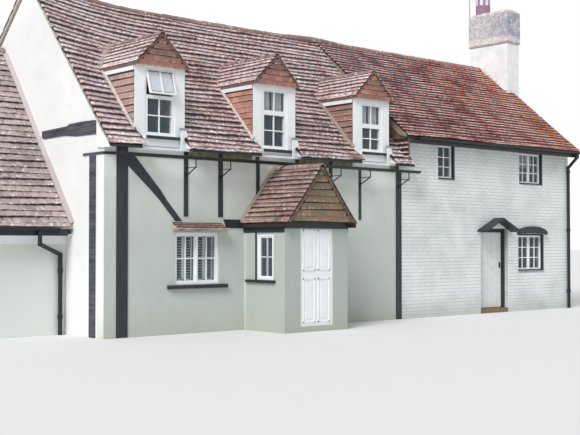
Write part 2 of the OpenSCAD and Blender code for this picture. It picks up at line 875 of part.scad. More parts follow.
module dormer_windows() {
    half = dormer_window_width / 2;
    color("White") placed() for (i = [0 : 2]) at_dormer(i) difference() {
        block([-half, 10, sill_at(i)], [half, 10 + frame_depth, head_at(i)]);
        block([frame_width - half, 0, transom_at(i) + frame_width / 2],
            [half - frame_width, 100, head_at(i) - frame_width]);
        block([frame_width + sash_width - half, 0, sill_at(i) + frame_width + sash_width],
            [half - frame_width - sash_width, 100,
                transom_at(i) - frame_width / 2 - sash_width]);
    }
}

// Places a top light about its top edge, open only on the first dormer
module at_top_light(i) {
    at_dormer(i) translate([0, 10, head_at(i) - frame_width])
        rotate([i == 0 ? -light_open : 0, 0, 0]) children();
}

module dormer_top_lights() {
    half = dormer_window_width / 2 - frame_width - 0.5;
    color("White") placed() for (i = [0 : 2]) at_top_light(i) difference() {
        block([-half, 0, 0.5 - top_light_height(i)], [half, sash_thickness, -0.5]);
        block([sash_width - half, -1, sash_width - top_light_height(i)],
            [half - sash_width, sash_thickness + 1, -sash_width]);
    }
}

// Lead beside the dormers and the mortar fillet where the wing's roof meets the gable
module roof_flashings() {
    start = wing_set_back - wing_eaves_reach + 20;
    run = (ridge_back + 880 - start) / cos(wing_pitch);
    color("Silver") placed() {
        difference() {
            for (i = [0 : 2]) for (side = [0, 1]) {
                rise = lift(dormer_middle(i) + (1 - 2 * side) * dormer_half);
                pitch = atan(tan(main_pitch) + rise / (ridge_back + eaves_reach));
                foot = main_top(0) + rise * share(0);
                at_dormer(i) mirror([side, 0, 0])
                    translate([dormer_half + bedding_gap, 0, foot + bedding_gap])
                        rotate([pitch, 0, 0])
                            along_y(0, (eaves_at(i) - foot - 150) / sin(pitch))
                                polygon([[0, 0], [90, 0], [0, 45]]);
            }
            raised_outline();
        }
        translate([-bedding_gap, start, wing_top(start) + bedding_gap])
            rotate([wing_pitch, 0, 0])
                along_y(0, run) polygon([[0, 0], [-120, 0], [0, 55]]);
    }
}

// Porch
module porch_space() {
    along_y(-porch_reach, 0)
        polygon([[porch_middle - porch_half, 0], [porch_middle + porch_half, 0],
            [porch_middle + porch_half, porch_eaves], [porch_middle, porch_ridge],
            [porch_middle - porch_half, porch_eaves]]);
}

module porch_walls() {
    left = porch_middle - porch_width / 2;
    right = porch_middle + porch_width / 2;
    foot = porch_gable_foot - porch_lintel_height;
    color("WhiteSmoke") placed() difference() {
        along_y(-porch_depth, 0)
            polygon([[left, 0], [right, 0], [right, porch_rest(right)],
                [right - porch_wall, porch_rest(right - porch_wall)],
                [left + porch_wall, porch_rest(left + porch_wall)],
                [left, porch_rest(left)]]);
        block([left + porch_wall, porch_wall - porch_depth, -10],
            [right - porch_wall, 10, far]);
        block([left - 10, -porch_depth - 10, foot], [right + 10, porch_wall - porch_depth, far]);
        block([porch_middle - porch_doorway / 2, -porch_depth - 10, ground_floor_top],
            [porch_middle + porch_doorway / 2, 0, far]);
        block([left - 10, porch_side_opening[0], porch_side_opening[1]],
            [right + 10, porch_side_opening[0] + porch_side_opening[2],
                porch_side_opening[1] + porch_side_opening[3]]);
    }
}

module porch_lintel() {
    left = porch_middle - porch_width / 2;
    right = porch_middle + porch_width / 2;
    color("DimGray") placed() difference() {
        block([left, -porch_depth - timber_proud, porch_gable_foot - porch_lintel_height],
            [right, porch_wall - porch_depth, porch_gable_foot]);
        porch_underside();
    }
}

// Everything above the underside of the porch's roof
module porch_underside() {
    along_y(-far, far)
        polygon([[porch_middle - 2000, porch_rest(porch_middle - 2000)],
            [porch_middle, porch_rest(porch_middle)],
            [porch_middle + 2000, porch_rest(porch_middle + 2000)],
            [porch_middle + 2000, far], [porch_middle - 2000, far]]);
}

module porch_roof() {
    color("IndianRed") placed() along_y(-porch_reach, 0)
        polygon([[porch_middle - porch_half, porch_eaves - porch_rise],
            [porch_middle, porch_ridge - porch_rise],
            [porch_middle + porch_half, porch_eaves - porch_rise],
            [porch_middle + porch_half, porch_eaves], [porch_middle, porch_ridge],
            [porch_middle - porch_half, porch_eaves]]);
}

// Tile hung gables of the porch and the dormers
module hung_gables() {
    color("Chocolate") placed() {
        difference() {
            along_y(-porch_reach + 40, porch_wall - porch_depth)
                polygon([[porch_middle - porch_half, porch_gable_foot],
                    [porch_middle + porch_half, porch_gable_foot],
                    [porch_middle, porch_ridge]]);
            porch_underside();
        }
        for (i = [0 : 2]) at_dormer(i) along_y(-dormer_front_reach, dormer_wall)
            polygon([[1 - dormer_half, eaves_at(i)], [dormer_half - 1, eaves_at(i)],
                [0, apex_at(i) - 1]]);
    }
}

module porch_door() {
    color("White") placed()
        block([porch_middle - porch_doorway / 2, 20 - porch_depth, ground_floor_top],
            [porch_middle + porch_doorway / 2, 75 - porch_depth,
                porch_gable_foot - porch_lintel_height]);
}

// Windows and glass
module wall_windows() {
    y = house_depth - 20 - frame_depth;
    color("White") placed() {
        window_frame(front_opening, 20, 2);
        for (side = [0, 1])
            translate([porch_middle, 0, 0]) mirror([side, 0, 0])
                translate([porch_wall / 2 + 20 - porch_width / 2, 0, 0])
                    rotate([0, 0, 90])
                        window_frame(porch_side_opening, -10, 1);
        for (i = [0 : 2])
            window_frame(right_openings[i], right_recess, right_lights[i]);
        for (opening = main_rear_openings)
            window_frame(opening, y, 2);
        for (opening = right_rear_openings)
            window_frame(opening, y, 2);
        window_frame(wing_rear_opening, y, 2);
    }
}

module window_glass() {
    y = house_depth - 20 - frame_depth;
    half = dormer_window_width / 2 - frame_width - sash_width;
    color("LightSteelBlue") placed() {
        window_panes(front_opening, 20, 2);
        for (i = [0 : 2])
            window_panes(right_openings[i], right_recess, right_lights[i]);
        for (opening = main_rear_openings)
            window_panes(opening, y, 2);
        for (opening = right_rear_openings)
            window_panes(opening, y, 2);
        window_panes(wing_rear_opening, y, 2);
        for (side = [0, 1])
            translate([porch_middle, 0, 0]) mirror([side, 0, 0])
                translate([porch_wall / 2 + 20 - porch_width / 2, 0, 0])
                    rotate([0, 0, 90])
                        window_panes(porch_side_opening, -10, 1);
        for (i = [0 : 2]) at_dormer(i)
            block([-half, 40, sill_at(i) + frame_width + sash_width],
                [half, 40 + glass_thickness, transom_at(i) - frame_width / 2 - sash_width]);
        for (i = [0 : 2]) at_top_light(i)
            block([0.5 - half, 16, sash_width - top_light_height(i)],
                [half - 0.5, 16 + glass_thickness, -sash_width]);
    }
}

module window_hood() {
    foot = front_opening[1] + front_opening[3] + 20;
    right = front_opening[0] + front_opening[2];
    color("IndianRed") placed() along_x(front_opening[0] - 55, right + 55)
        polygon([[0, foot + 152], [-200, foot + 50], [-200, foot + 15], [0, foot]]);
}

module window_sills() {
    color("DimGray") placed() {
        block([front_opening[0] - 167, -70, front_opening[1] - 80],
            [front_opening[0] + front_opening[2] + 167, 0, front_opening[1] - 15]);
        for (side = [0, 1])
            translate([porch_middle, 0, 0]) mirror([side, 0, 0])
                block([-porch_width / 2 - 50, -900, 880], [-porch_width / 2, -90, 930]);
        for (i = [0 : 2])
            block([right_openings[i][0], -30, right_openings[i][1]],
                [right_openings[i][0] + right_openings[i][2], right_recess,
                    right_openings[i][1] + 25]);
    }
}

// Rainwater goods
module gutter_trough() {
    difference() {
        circle(r = gutter_radius);
        circle(r = gutter_radius - gutter_wall);
        translate([-gutter_radius - 1, 0]) square([2 * gutter_radius + 2, gutter_radius + 1]);
    }
}

module gutters() {
    rear = house_depth + gutter_axis;
    color("DimGray") placed() {
        along_x(60, main_length + 240) translate([-gutter_axis, main_gutter]) gutter_trough();
        along_x(main_length + 240, right_end + right_verge)
            translate([-gutter_axis, right_eaves - 40]) gutter_trough();
        along_x(-left_reach, -300)
            translate([wing_set_back - wing_eaves_reach - gutter_radius, wing_eaves - 40])
                gutter_trough();
        along_x(-main_verge, main_length) translate([rear, right_eaves - 40]) gutter_trough();
        along_x(main_length, right_end + right_verge)
            translate([rear, right_eaves - 40]) gutter_trough();
        along_x(-left_reach, -300)
            translate([rear, wing_top(house_depth + eaves_reach) - 40]) gutter_trough();
    }
}

// Boards behind the right range's gutters
module right_fascias() {
    color("DimGray") placed() for (side = [0, 1])
        translate([0, side * house_depth, 0]) mirror([0, side, 0])
            block([main_length + 1, -eaves_reach, right_eaves - eaves_edge - 115],
                [right_end + right_verge, 22 - eaves_reach,
                    right_eaves - eaves_edge - bedding_gap]);
}

module downpipes() {
    right_x = right_end - 60;
    color("DimGray") placed() {
        pipe_run([[right_x, -gutter_axis, right_eaves - 40 - gutter_radius],
            [right_x, -gutter_axis, right_eaves - 190],
            [right_x, -pipe_out, right_eaves - 420],
            [right_x, -pipe_out, 0]], pipe_radius);
        for (z = [400, 1900])
            block([right_x - 20, -pipe_out, z], [right_x + 20, 0, z + 30]);
        pipe_run([[-667, wing_set_back - wing_eaves_reach - gutter_radius,
                wing_eaves - 40 - gutter_radius],
            [-667, wing_set_back - wing_eaves_reach - gutter_radius, wing_eaves - 320],
            [-123, wing_set_back - pipe_out, wing_eaves - 500],
            [-123, wing_set_back - pipe_out, 0]], pipe_radius);
        for (z = [300, 1100])
            block([-143, wing_set_back - pipe_out, z], [-103, wing_set_back, z + 30]);
    }
}

module gutter_brackets() {
    foot = main_gutter - gutter_radius - 130;
    studs = [for (i = [0, 1, 4, 5]) upper_stud_places[i][0] + upper_stud_places[i][1] / 2];
    color("DimGray") placed()
        for (x = concat(studs, [main_length - corner_post_width / 2])) {
            rod([x, -gutter_axis, main_gutter - gutter_radius], [x, -gutter_axis, foot], 11);
            rod([x, -gutter_axis, foot], [x, -timber_proud - 6, foot - 140], 11);
            rod([x, -gutter_axis, foot], [x, -timber_proud - 6, foot], 7);
            translate([x, -gutter_axis, foot]) sphere(r = 14);
            block([x - 15, -timber_proud - 10, foot - 200],
                [x + 15, -timber_proud, foot - 80]);
        }
}

// Cottage door with its frame, ironwork and hood
module door_frame() {
    color("DimGray") placed() difference() {
        block([doorway_left, wall_thickness - jamb_depth, ground_floor_top],
            [doorway_right, wall_thickness, doorway_head]);
        block([doorway_left + jamb_width, 0, 0],
            [doorway_right - jamb_width, far, doorway_head - jamb_width]);
    }
}

module cottage_door() {
    color("Gainsboro") placed()
        block([leaf_left, wall_thickness - leaf_thickness, leaf_foot],
            [leaf_left + leaf_width, wall_thickness, leaf_foot + leaf_height]);
}

module door_ironwork() {
    color("DimGray") placed() {
        for (z = [leaf_foot + 250, leaf_foot + leaf_height - 250]) {
            block([leaf_left + pin_radius + 2, wall_thickness, z - 20],
                [leaf_left + 480, wall_thickness + 6, z + 20]);
            translate([leaf_left, pin_y, z - 20]) difference() {
                cylinder(h = 40, r = knuckle_radius);
                translate([0, 0, -1]) cylinder(h = 42, r = pin_radius + pin_clearance);
            }
        }
    }
}

module door_pins() {
    color("DimGray") placed()
        for (z = [leaf_foot + 250, leaf_foot + leaf_height - 250]) {
            translate([leaf_left, pin_y, z - 34]) cylinder(h = 62, r = pin_radius);
            block([leaf_left - 60, pin_y - 7, z - 34], [leaf_left, pin_y + 7, z - 22]);
            block([leaf_left - 60, wall_thickness, z - 34],
                [leaf_left - knuckle_radius - 3, pin_y - 6, z + 34]);
        }
}

module door_hood() {
    middle = (doorway_left + doorway_right) / 2;
    color("DimGray") placed() {
        along_y(-280, 0)
            polygon([[middle - 618, 1853], [middle, 2137], [middle + 618, 1853],
                [middle + 618, 1895], [middle, 2180], [middle - 618, 1895]]);
    }
}

// Chimney
module stack_block() {
    block([stack_left, stack_front, -10],
        [stack_right, stack_front + stack_depth, band_height]);
}

module chimney_stack() {
    color("Gainsboro") placed() {
        block([stack_left, stack_front, 0],
            [stack_right, stack_front + stack_depth, band_height]);
        block([stack_left - band_reach, stack_front - band_reach, band_height],
            [stack_right + band_reach, stack_front + stack_depth + band_reach, stack_top]);
    }
}

module chimney_pot() {
    color("Sienna") placed()
        translate([(stack_left + stack_right) / 2, stack_front + 985, stack_top])
            difference() {
                cylinder(h = pot_height, r = pot_radius);
                translate([0, 0, -1]) cylinder(h = pot_height + 2, r = pot_radius - 30);
            }
}

module aerial_mast() {
    x = stack_left + 60;
    y = stack_front + stack_depth + 60;
    color("Silver") placed() {
        rod([x, y, 7000], [x, y, 8500], 14);
        for (z = [7150, 7480])
            block([x - 20, y - 60 + band_reach, z], [x + 20, y, z + 30]);
    }
}

main_front_wall();
main_rear_wall();
left_gable_wall();
cross_wall();
right_wall_left();
right_wall_right();
right_wall_over_door();
right_rear_wall();
right_gable_wall();
wing_front_wall();
wing_rear_wall();
wing_end_wall();
ground_floors();
upper_floors();
front_studs();
front_braces();
wall_plate();
gable_beams();
main_front_roof();
main_rear_roof();
right_front_roof();
right_rear_roof();
wing_front_roof();
wing_rear_roof();
ridge_tiles();
cross_gable_boards();
eaves_boards();
dormer_fronts();
dormer_cheeks();
dormer_roofs();
dormer_windows();
dormer_top_lights();
roof_flashings();
porch_walls();
porch_lintel();
porch_roof();
hung_gables();
porch_door();
wall_windows();
window_glass();
window_hood();
window_sills();
gutters();
right_fascias();
downpipes();
gutter_brackets();
door_frame();
cottage_door();
door_ironwork();
door_pins();
door_hood();
chimney_stack();
chimney_pot();
aerial_mast();
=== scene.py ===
import math
import random

import bmesh
import bpy
from mathutils import Matrix, Vector


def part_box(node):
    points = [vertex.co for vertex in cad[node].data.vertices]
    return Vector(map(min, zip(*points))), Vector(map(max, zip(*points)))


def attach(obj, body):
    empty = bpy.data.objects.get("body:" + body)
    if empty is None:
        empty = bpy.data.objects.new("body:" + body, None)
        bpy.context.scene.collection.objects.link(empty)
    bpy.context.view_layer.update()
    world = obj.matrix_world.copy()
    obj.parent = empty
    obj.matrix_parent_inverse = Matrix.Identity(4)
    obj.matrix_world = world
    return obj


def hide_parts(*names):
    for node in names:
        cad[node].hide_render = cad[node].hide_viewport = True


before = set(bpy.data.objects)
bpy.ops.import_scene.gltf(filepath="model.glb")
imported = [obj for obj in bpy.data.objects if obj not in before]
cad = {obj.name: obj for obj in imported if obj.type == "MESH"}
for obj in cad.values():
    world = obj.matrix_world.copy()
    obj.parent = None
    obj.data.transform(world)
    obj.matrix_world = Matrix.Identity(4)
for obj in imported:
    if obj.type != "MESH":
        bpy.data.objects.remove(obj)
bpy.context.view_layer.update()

# LIME RENDERED WALLS
# The main range and the wing are oak frames filled and covered with lime render, trowelled by
# hand and limewashed many times, so the faces wave a little and show greyish patches.
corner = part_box("main_front_wall")[0].copy()


def linear(code):
    """sRGB hex colour as linear red, green, blue and alpha."""
    parts = [int(code[i : i + 2], 16) / 255 for i in (1, 3, 5)]
    return tuple(c / 12.92 if c <= 0.04045 else ((c + 0.055) / 1.055) ** 2.4 for c in parts) + (1,)


def add(tree, kind, settings=None, **inputs):
    """Adds a node with its settings, and links or fills its inputs by name or number."""
    made = tree.nodes.new(kind)
    for key, value in (settings or {}).items():
        setattr(made, key, value)
    for key, value in inputs.items():
        numbered = key[0] == "i" and key[1:].isdigit()
        socket = made.inputs[int(key[1:]) if numbered else key.replace("_", " ")]
        if isinstance(value, bpy.types.NodeSocket):
            tree.links.new(value, socket)
        else:
            socket.default_value = value
    return made


def calc(tree, operation, first, second):
    """Result of one arithmetic node."""
    return add(tree, "ShaderNodeMath", {"operation": operation}, i0=first, i1=second).outputs[0]


def per_mm(size):
    """Texture scale that gives features of about this many millimetres on Object coordinates."""
    return 1000 / size


def noise(size, detail, seed=0.0, grain=None):
    """Pattern of noise of about this size in millimetres, squeezed by the grain on each axis.
    Every pattern is a function that adds its nodes to a tree and returns their output."""

    def pattern(tree, place):
        if grain:
            place = add(tree, "ShaderNodeMapping", Vector=place, Scale=grain).outputs[0]
        return add(tree, "ShaderNodeTexNoise", {"noise_dimensions": "4D"}, Vector=place, W=seed,
                   Scale=per_mm(size), Detail=detail).outputs["Fac"]

    return pattern


def spread(pattern, low, high):
    """Pattern stretched so that low becomes 0 and high becomes 1."""
    return lambda tree, place: add(tree, "ShaderNodeMapRange", Value=pattern(tree, place),
                                   From_Min=low, From_Max=high).outputs[0]


def patches(size, detail, low, high, seed=0.0):
    """Pattern of patches of about this size in millimetres."""
    return spread(noise(size, detail, seed), low, high)


def axis(name):
    """Pattern that is the place on X, Y or Z in the part's frame, in metres."""
    return lambda tree, place: add(tree, "ShaderNodeSeparateXYZ", i0=place).outputs[name]


def towards(name, low, high):
    """Pattern that goes from 0 to 1 between two places on an axis."""
    return spread(axis(name), low, high)


def both(*patterns):
    """Product of patterns."""

    def pattern(tree, place):
        value = patterns[0](tree, place)
        for other in patterns[1:]:
            value = calc(tree, "MULTIPLY", value, other(tree, place))
        return value

    return pattern


def layered(colour, coats):
    """Colour under coats of paint or dirt, each given as its colour, its share and a pattern."""

    def pattern(tree, place):
        under = colour(tree, place) if callable(colour) else linear(colour)
        for tint, share, where in coats:
            over = tint(tree, place) if callable(tint) else linear(tint)
            amount = calc(tree, "MULTIPLY", where(tree, place), share)
            under = add(tree, "ShaderNodeMix", {"data_type": "RGBA"}, i0=amount, i6=under,
                        i7=over).outputs[2]
        return under

    return pattern


def finish(name, roughness, colour, coats=(), bumps=(), **more):
    """Material with a colour, its coats, and bumps given as patterns with heights in mm."""
    made = bpy.data.materials.new(name)
    made.use_nodes = True
    tree = made.node_tree
    tree.nodes.clear()
    place = add(tree, "ShaderNodeTexCoord").outputs["Object"]
    for pattern, depth in bumps:
        normal = {"Normal": more["Normal"]} if "Normal" in more else {}
        more["Normal"] = add(tree, "ShaderNodeBump", Height=pattern(tree, place), Strength=1.0,
                             Distance=depth / 1000, **normal).outputs[0]
    shader = add(tree, "ShaderNodeBsdfPrincipled", Roughness=roughness,
                 Base_Color=layered(colour, coats)(tree, place), **more)
    add(tree, "ShaderNodeOutputMaterial", i0=shader.outputs[0])
    return made


def mottled(name, roughness, first, second, size, detail, low, high, seed=0.0, coats=(), bumps=()):
    """Material that goes from one colour to another in patches."""
    return finish(name, roughness, first,
                  ((second, 1, patches(size, detail, low, high, seed)), *coats), bumps)


def paint(made, *nodes):
    """Gives CAD nodes their finish."""
    for node in nodes:
        mesh = cad[node].data
        mesh.materials.clear()
        mesh.materials.append(made)


# Lime render under limewash: matt, off white, with soft grey patches and splashes at the foot.
# It is painted greyer lower down and on the porch as painted shade, and round the corner it meets
# the gable's coat.
limewash = finish("limewashed_render", 0.92, "#dfe3de", (
    ("#d0d5d0", 1, patches(900, 3, 0.40, 0.68)),
    ("#bcc0b8", 0.35, patches(260, 5, 0.52, 0.78, 3.0)),
    # Painted shade: greyer lower down the front wall.
    ("#b6bdb8", 0.75, towards("Z", 2.9, 1.7)),
    ("#ececea", 1, towards("X", -4.985, -4.992)),
    # Painted shade: greyer on the porch walls under the porch roof.
    ("#a9b1aa", 0.8, towards("Y", -2.22, -2.26)),
    ("#a9a998", 0.45, towards("Z", 0.55, 0.0))), ((noise(420, 2), 14), (noise(38, 3), 1.6)))
paint(limewash, "main_front_wall", "main_rear_wall", "porch_walls")

# The left gable and the wing had a fresher coat, brighter and nearly free of patches.
fresh_limewash = finish("fresh_limewash", 0.9, "#eeeeec", (
    ("#e2e3e2", 1, patches(1100, 3, 0.42, 0.72, 7.0)),
    ("#cfcfcb", 0.3, patches(190, 5, 0.60, 0.80, 9.0)),
    # Painted shade: the wing's walls under its eaves are painted greyer.
    ("#dce1dc", 1, towards("X", -5.02, -5.06))),
    ((noise(500, 2, 2.0), 16), (noise(45, 3, 4.0), 1.4)))
paint(fresh_limewash, "left_gable_wall", "wing_front_wall", "wing_rear_wall", "wing_end_wall")

# PAINTED BRICK RANGE
# The right range is brick under many coats of masonry paint. Each brick stands a few
# millimetres out of its flush joint, laid in stretchers with broken bond.
brick_length, brick_gauge, brick_joint, brick_proud = 0.225, 0.075, 0.010, 0.005
depth = 5.3
brick_start, brick_end = 7.262, 13.32
brick_top, gable_top = 3.82, 6.0
rake_foot, rake_pitch, under_rake = 4.09, math.radians(39.3), 0.14
stack_front, stack_back = 1.737, 2.97
UPRIGHT = math.pi / 2

painted_brick = finish("masonry_painted_brick", 0.82, "#e9ecec", (
    ("#d3d9d9", 1, patches(500, 4, 0.42, 0.70, 1.0)),
    ("#a8aba4", 0.35, patches(120, 6, 0.60, 0.82, 5.0)),
    ("#9ba08c", 0.5, towards("Z", 0.45, 0.0))), ((noise(60, 4, 2.0), 3), (noise(12, 3), 1.0)))

# The flush joints between the bricks hold more dirt under the paint.
dirty_joints = mottled("painted_joints", 0.88, "#c4c9c8", "#a9aeab", 300, 4, 0.40, 0.70)
paint(dirty_joints, "right_wall_left", "right_wall_right", "right_wall_over_door",
      "right_rear_wall", "right_gable_wall")
paint(painted_brick, "cross_wall")


def bricklayer():
    """Node tree that sets a plain or cambered block on every marked point."""
    group = bpy.data.node_groups.new("set_blocks", "GeometryNodeTree")
    for kind, names in (("Geometry", ("Marks",)), ("Float", ("Width", "Length", "Thickness",
                        "Camber", "Looseness", "Tail lift")), ("Int", ("Segments", "Seed")),
                        ("Material", ("Finish",))):
        for name in names:
            group.interface.new_socket(name, in_out="INPUT", socket_type="NodeSocket" + kind)
    group.interface.new_socket("Blocks", in_out="OUTPUT", socket_type="NodeSocketGeometry")
    given = group.nodes.new("NodeGroupInput").outputs

    def step(kind, settings=None, **inputs):
        return add(group, kind, settings, **inputs).outputs[0]

    def position(name):
        return axis(name)(group, step("GeometryNodeInputPosition"))

    def product(first, second):
        return calc(group, "MULTIPLY", first, second)

    size = step("ShaderNodeCombineXYZ", X=given["Width"], Y=given["Length"], Z=given["Thickness"])
    block = step("GeometryNodeMeshCube", Size=size, Vertices_X=given["Segments"], Vertices_Y=2,
                 Vertices_Z=2)
    share = calc(group, "DIVIDE", position("X"), given["Width"])
    drop = product(product(product(share, share), -4.0), given["Camber"])
    rise = calc(group, "ADD", drop, product(given["Thickness"], 0.5))
    shift = step("ShaderNodeCombineXYZ", Y=product(given["Length"], 0.5), Z=rise)
    block = step("GeometryNodeSetPosition", Geometry=block, Offset=shift)
    block = step("GeometryNodeStoreNamedAttribute", {"data_type": "FLOAT", "domain": "POINT"},
                 Geometry=block, Name="up_the_tile",
                 Value=calc(group, "DIVIDE", position("Y"), given["Length"]))
    lay, cut = (step("GeometryNodeInputNamedAttribute", {"data_type": "FLOAT_VECTOR"}, Name=name)
                for name in ("lay", "cut"))
    course = step("GeometryNodeInstanceOnPoints", Points=given["Marks"], Instance=block,
                  Rotation=lay, Scale=cut)
    less = product(given["Looseness"], -1.0)
    lowest = step("ShaderNodeCombineXYZ", X=given["Tail lift"], Y=less, Z=less)
    highest = step("ShaderNodeCombineXYZ", Y=given["Looseness"], Z=given["Looseness"])
    turn = step("FunctionNodeRandomValue", {"data_type": "FLOAT_VECTOR"}, i0=lowest, i1=highest,
                Seed=given["Seed"])
    course = step("GeometryNodeRotateInstances", Instances=course, Rotation=turn,
                  Local_Space=True)
    chance = add(group, "FunctionNodeRandomValue", {"data_type": "FLOAT"}, i2=0.0, i3=1.0,
                 Seed=given["Seed"]).outputs[1]
    course = step("GeometryNodeStoreNamedAttribute", {"data_type": "FLOAT", "domain": "INSTANCE"},
                  Geometry=course, Name="firing", Value=chance)
    course = step("GeometryNodeRealizeInstances", Geometry=course)
    course = step("GeometryNodeSetMaterial", Geometry=course, Material=given["Finish"])
    add(group, "NodeGroupOutput", i0=course)
    return group


set_blocks = bricklayer()


def link(name, data):
    """Object with this data in the scene."""
    obj = bpy.data.objects.new(name, data)
    bpy.context.scene.collection.objects.link(obj)
    return obj


def settle(obj, body="house"):
    """Moves a piece made in building places into the part's frame and fixes it to its body."""
    obj.data.transform(Matrix.Translation(corner))
    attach(obj, body)
    return obj


def model(name, mesh, made):
    """Object made from a finished mesh, with its faces turned outward."""
    bmesh.ops.recalc_face_normals(mesh, faces=mesh.faces)
    data = bpy.data.meshes.new(name)
    mesh.to_mesh(data)
    mesh.free()
    data.materials.append(made)
    return link(name, data)


def loft(mesh, rings):
    """Closed skin through rings of places, with both ends closed. Returns its points."""
    rings = [[mesh.verts.new(place) for place in ring] for ring in rings]
    for a, b in zip(rings, rings[1:]):
        for k in range(len(a)):
            after = (k + 1) % len(a)
            mesh.faces.new((a[k], a[after], b[after], b[k]))
    mesh.faces.new(rings[0])
    mesh.faces.new(rings[-1])
    return [vert for ring in rings for vert in ring]


def solid(name, rings, made):
    """Object with one closed skin through rings of places."""
    mesh = bmesh.new()
    loft(mesh, rings)
    return model(name, mesh, made)


def lay_blocks(name, marks, made, size, camber, loose, tail, seed, segments=4):
    """Piece with one block on each mark: a place, its turn and the part of its size kept.
    Loose is the most it turns either way, tail how far its foot lifts, both in radians."""
    mesh = bpy.data.meshes.new(name)
    mesh.from_pydata([mark[0] for mark in marks], [], [])
    for key, column in (("lay", 1), ("cut", 2)):
        layer = mesh.attributes.new(key, "FLOAT_VECTOR", "POINT")
        layer.data.foreach_set("vector", [c for mark in marks for c in mark[column]])
    obj = link(name, mesh)
    tool = obj.modifiers.new("blocks", "NODES")
    tool.node_group = set_blocks
    inputs = {"Width": size[0], "Length": size[1], "Thickness": size[2], "Camber": camber,
              "Looseness": loose, "Tail lift": tail, "Segments": segments, "Seed": seed,
              "Finish": made}
    for socket in set_blocks.interface.items_tree:
        if socket.name in inputs:
            tool[socket.identifier] = inputs[socket.name]
    view = bpy.context.evaluated_depsgraph_get()
    plain = bpy.data.meshes.new_from_object(obj.evaluated_get(view))
    bpy.data.objects.remove(obj)
    plain.name = name
    return settle(link(name, plain))


def slope(origin, heading, pitch, lift=0.0, wave=0.0, rise=None):
    """Surface that rises to the left of its heading: a place for each length along and each way
    up, with slow waves in it and, where rise is given, a ridge that lifts."""
    along = Vector((math.cos(heading), math.sin(heading), 0))
    back = Vector((-math.sin(heading), math.cos(heading), 0))
    up = back * math.cos(pitch) + Vector((0, 0, math.sin(pitch)))
    out = Vector((0, 0, math.cos(pitch))) - back * math.sin(pitch)

    def place(u, v):
        swell = math.sin(u * 1.7 + v * 0.9) + math.sin(u * 0.83 - v * 1.9 + 1.3)
        at = Vector(origin) + along * u + up * v + out * (lift + wave * (swell + 2) / 4)
        if rise:
            at.z += rise(u, v)
        return at

    return place


def set_out(place, rows, width, spans, tilt=0.0, uneven=0.0, top=None, length=1.0):
    """Marks for courses on a surface: rows are distances up it, and spans gives the lengths
    along each course that are covered. Blocks of the given length are cut off at the top."""
    marks = []
    least, near = 0.18 * width, 0.02
    for number, row in enumerate(rows):
        shift = width * 0.5 * (number % 2)
        kept = min(1.0, (top - row) / length) if top else 1.0
        for low, high in spans(row):
            for k in range(math.floor((low - shift) / width), math.ceil((high - shift) / width)):
                left = max(low, shift + k * width)
                right = min(high, shift + (k + 1) * width)
                if right - left > least:
                    u = (left + right) / 2
                    v = row + uneven * math.sin(u * 2.3 + number * 1.9)
                    across = (place(u + near, v) - place(u - near, v)).normalized()
                    upward = (place(u, v + near) - place(u, v - near)).normalized()
                    out = across.cross(upward).normalized()
                    turn = Matrix((across, out.cross(across), out)).transposed()
                    turn = turn @ Matrix.Rotation(-tilt, 3, "X")
                    marks.append((place(u, v), tuple(turn.to_euler()),
                                  ((right - left) / width, kept, 1)))
    return marks


def courses(low, high, gauge):
    """Rows from low to high at an even gauge that is close to the given one."""
    count = max(1, round((high - low) / gauge))
    return [low + (high - low) * i / count for i in range(count)]


def around(openings, low, high):
    """Covered lengths between low and high, left open at openings (from, to, bottom, top)."""
    shown = brick_gauge - 0.015

    def spans(row):
        edges = [low]
        for left, right, bottom, top in sorted(openings):
            if bottom < row + shown and row < top:
                edges += [left, right]
        edges.append(high)
        return [(a, b) for a, b in zip(edges[0::2], edges[1::2]) if b - a > 0.03]

    return spans


# Windows are given as left edge, bottom, width and height.
right_windows = ((8.45, 3.005, 0.53, 0.765), (11.35, 3.0, 0.885, 0.75), (11.30, 0.95, 0.972, 0.85))
right_rear_windows = ((8.4, 0.95, 0.985, 0.85), (11.285, 0.95, 0.985, 0.85),
                      (8.44, 3.0, 0.88, 0.75), (11.375, 3.0, 0.88, 0.75))
front_holes = [(x, x + wide, z, z + high) for x, z, wide, high in right_windows]
front_holes.append((9.90, 10.91, 0.0, 1.93))
rear_holes = [(-x - wide, -x, z, z + high) for x, z, wide, high in right_rear_windows]
rows = courses(0.0, brick_top, brick_gauge)
marks = set_out(slope((0, 0, 0), 0, UPRIGHT), rows, brick_length,
                around(front_holes, brick_start, brick_end))
marks += set_out(slope((0, depth, 0), math.pi, UPRIGHT), rows, brick_length,
                 around(rear_holes, -brick_end, -brick_start))


def under_right_gable(row):
    """Brick courses on the right gable, stopped at the roof and at the chimney stack."""
    inside = max(0.0, (row + under_rake - rake_foot) / math.tan(rake_pitch))
    return [(a, b) for a, b in ((inside, stack_front), (stack_back, depth - inside))
            if b - a > 0.05]


marks += set_out(slope((brick_end, 0, 0), UPRIGHT, UPRIGHT), courses(0.0, gable_top, brick_gauge),
                 brick_length, under_right_gable)
lay_blocks("brick_courses", marks, painted_brick,
           (brick_length - brick_joint, brick_gauge - brick_joint, brick_proud), 0.0, 0.004,
           0.004, 11, 2)

# FLOORS
# Ground and upper floors are wide softwood boards, nailed down and worn, seen only through the
# windows and doors.
floor_boards = finish("worn_floor_boards", 0.6, "#6b563f",
                      (("#8f7657", 1, noise(400, 5, grain=(1, 12, 1))),))
paint(floor_boards, "ground_floors", "upper_floors")

# BLACK TIMBERS
# The frame is oak, pit sawn and adzed, blackened with tar paint that has weathered to a
# satin blue black. Grain and shakes run along each timber.
grain = noise(500, 6, grain=(14, 14, 1.2))
black_oak = finish("blackened_oak", 0.52, "#171c21", (
    ("#2f373f", 1, spread(grain, 0.35, 0.75)),
    ("#565b60", 0.5, patches(90, 5, 0.62, 0.80, 4.0))), ((grain, 5), (noise(220, 2), 8)))
paint(black_oak, "front_studs", "front_braces", "wall_plate", "porch_lintel", "door_hood",
      "window_sills", "door_frame")

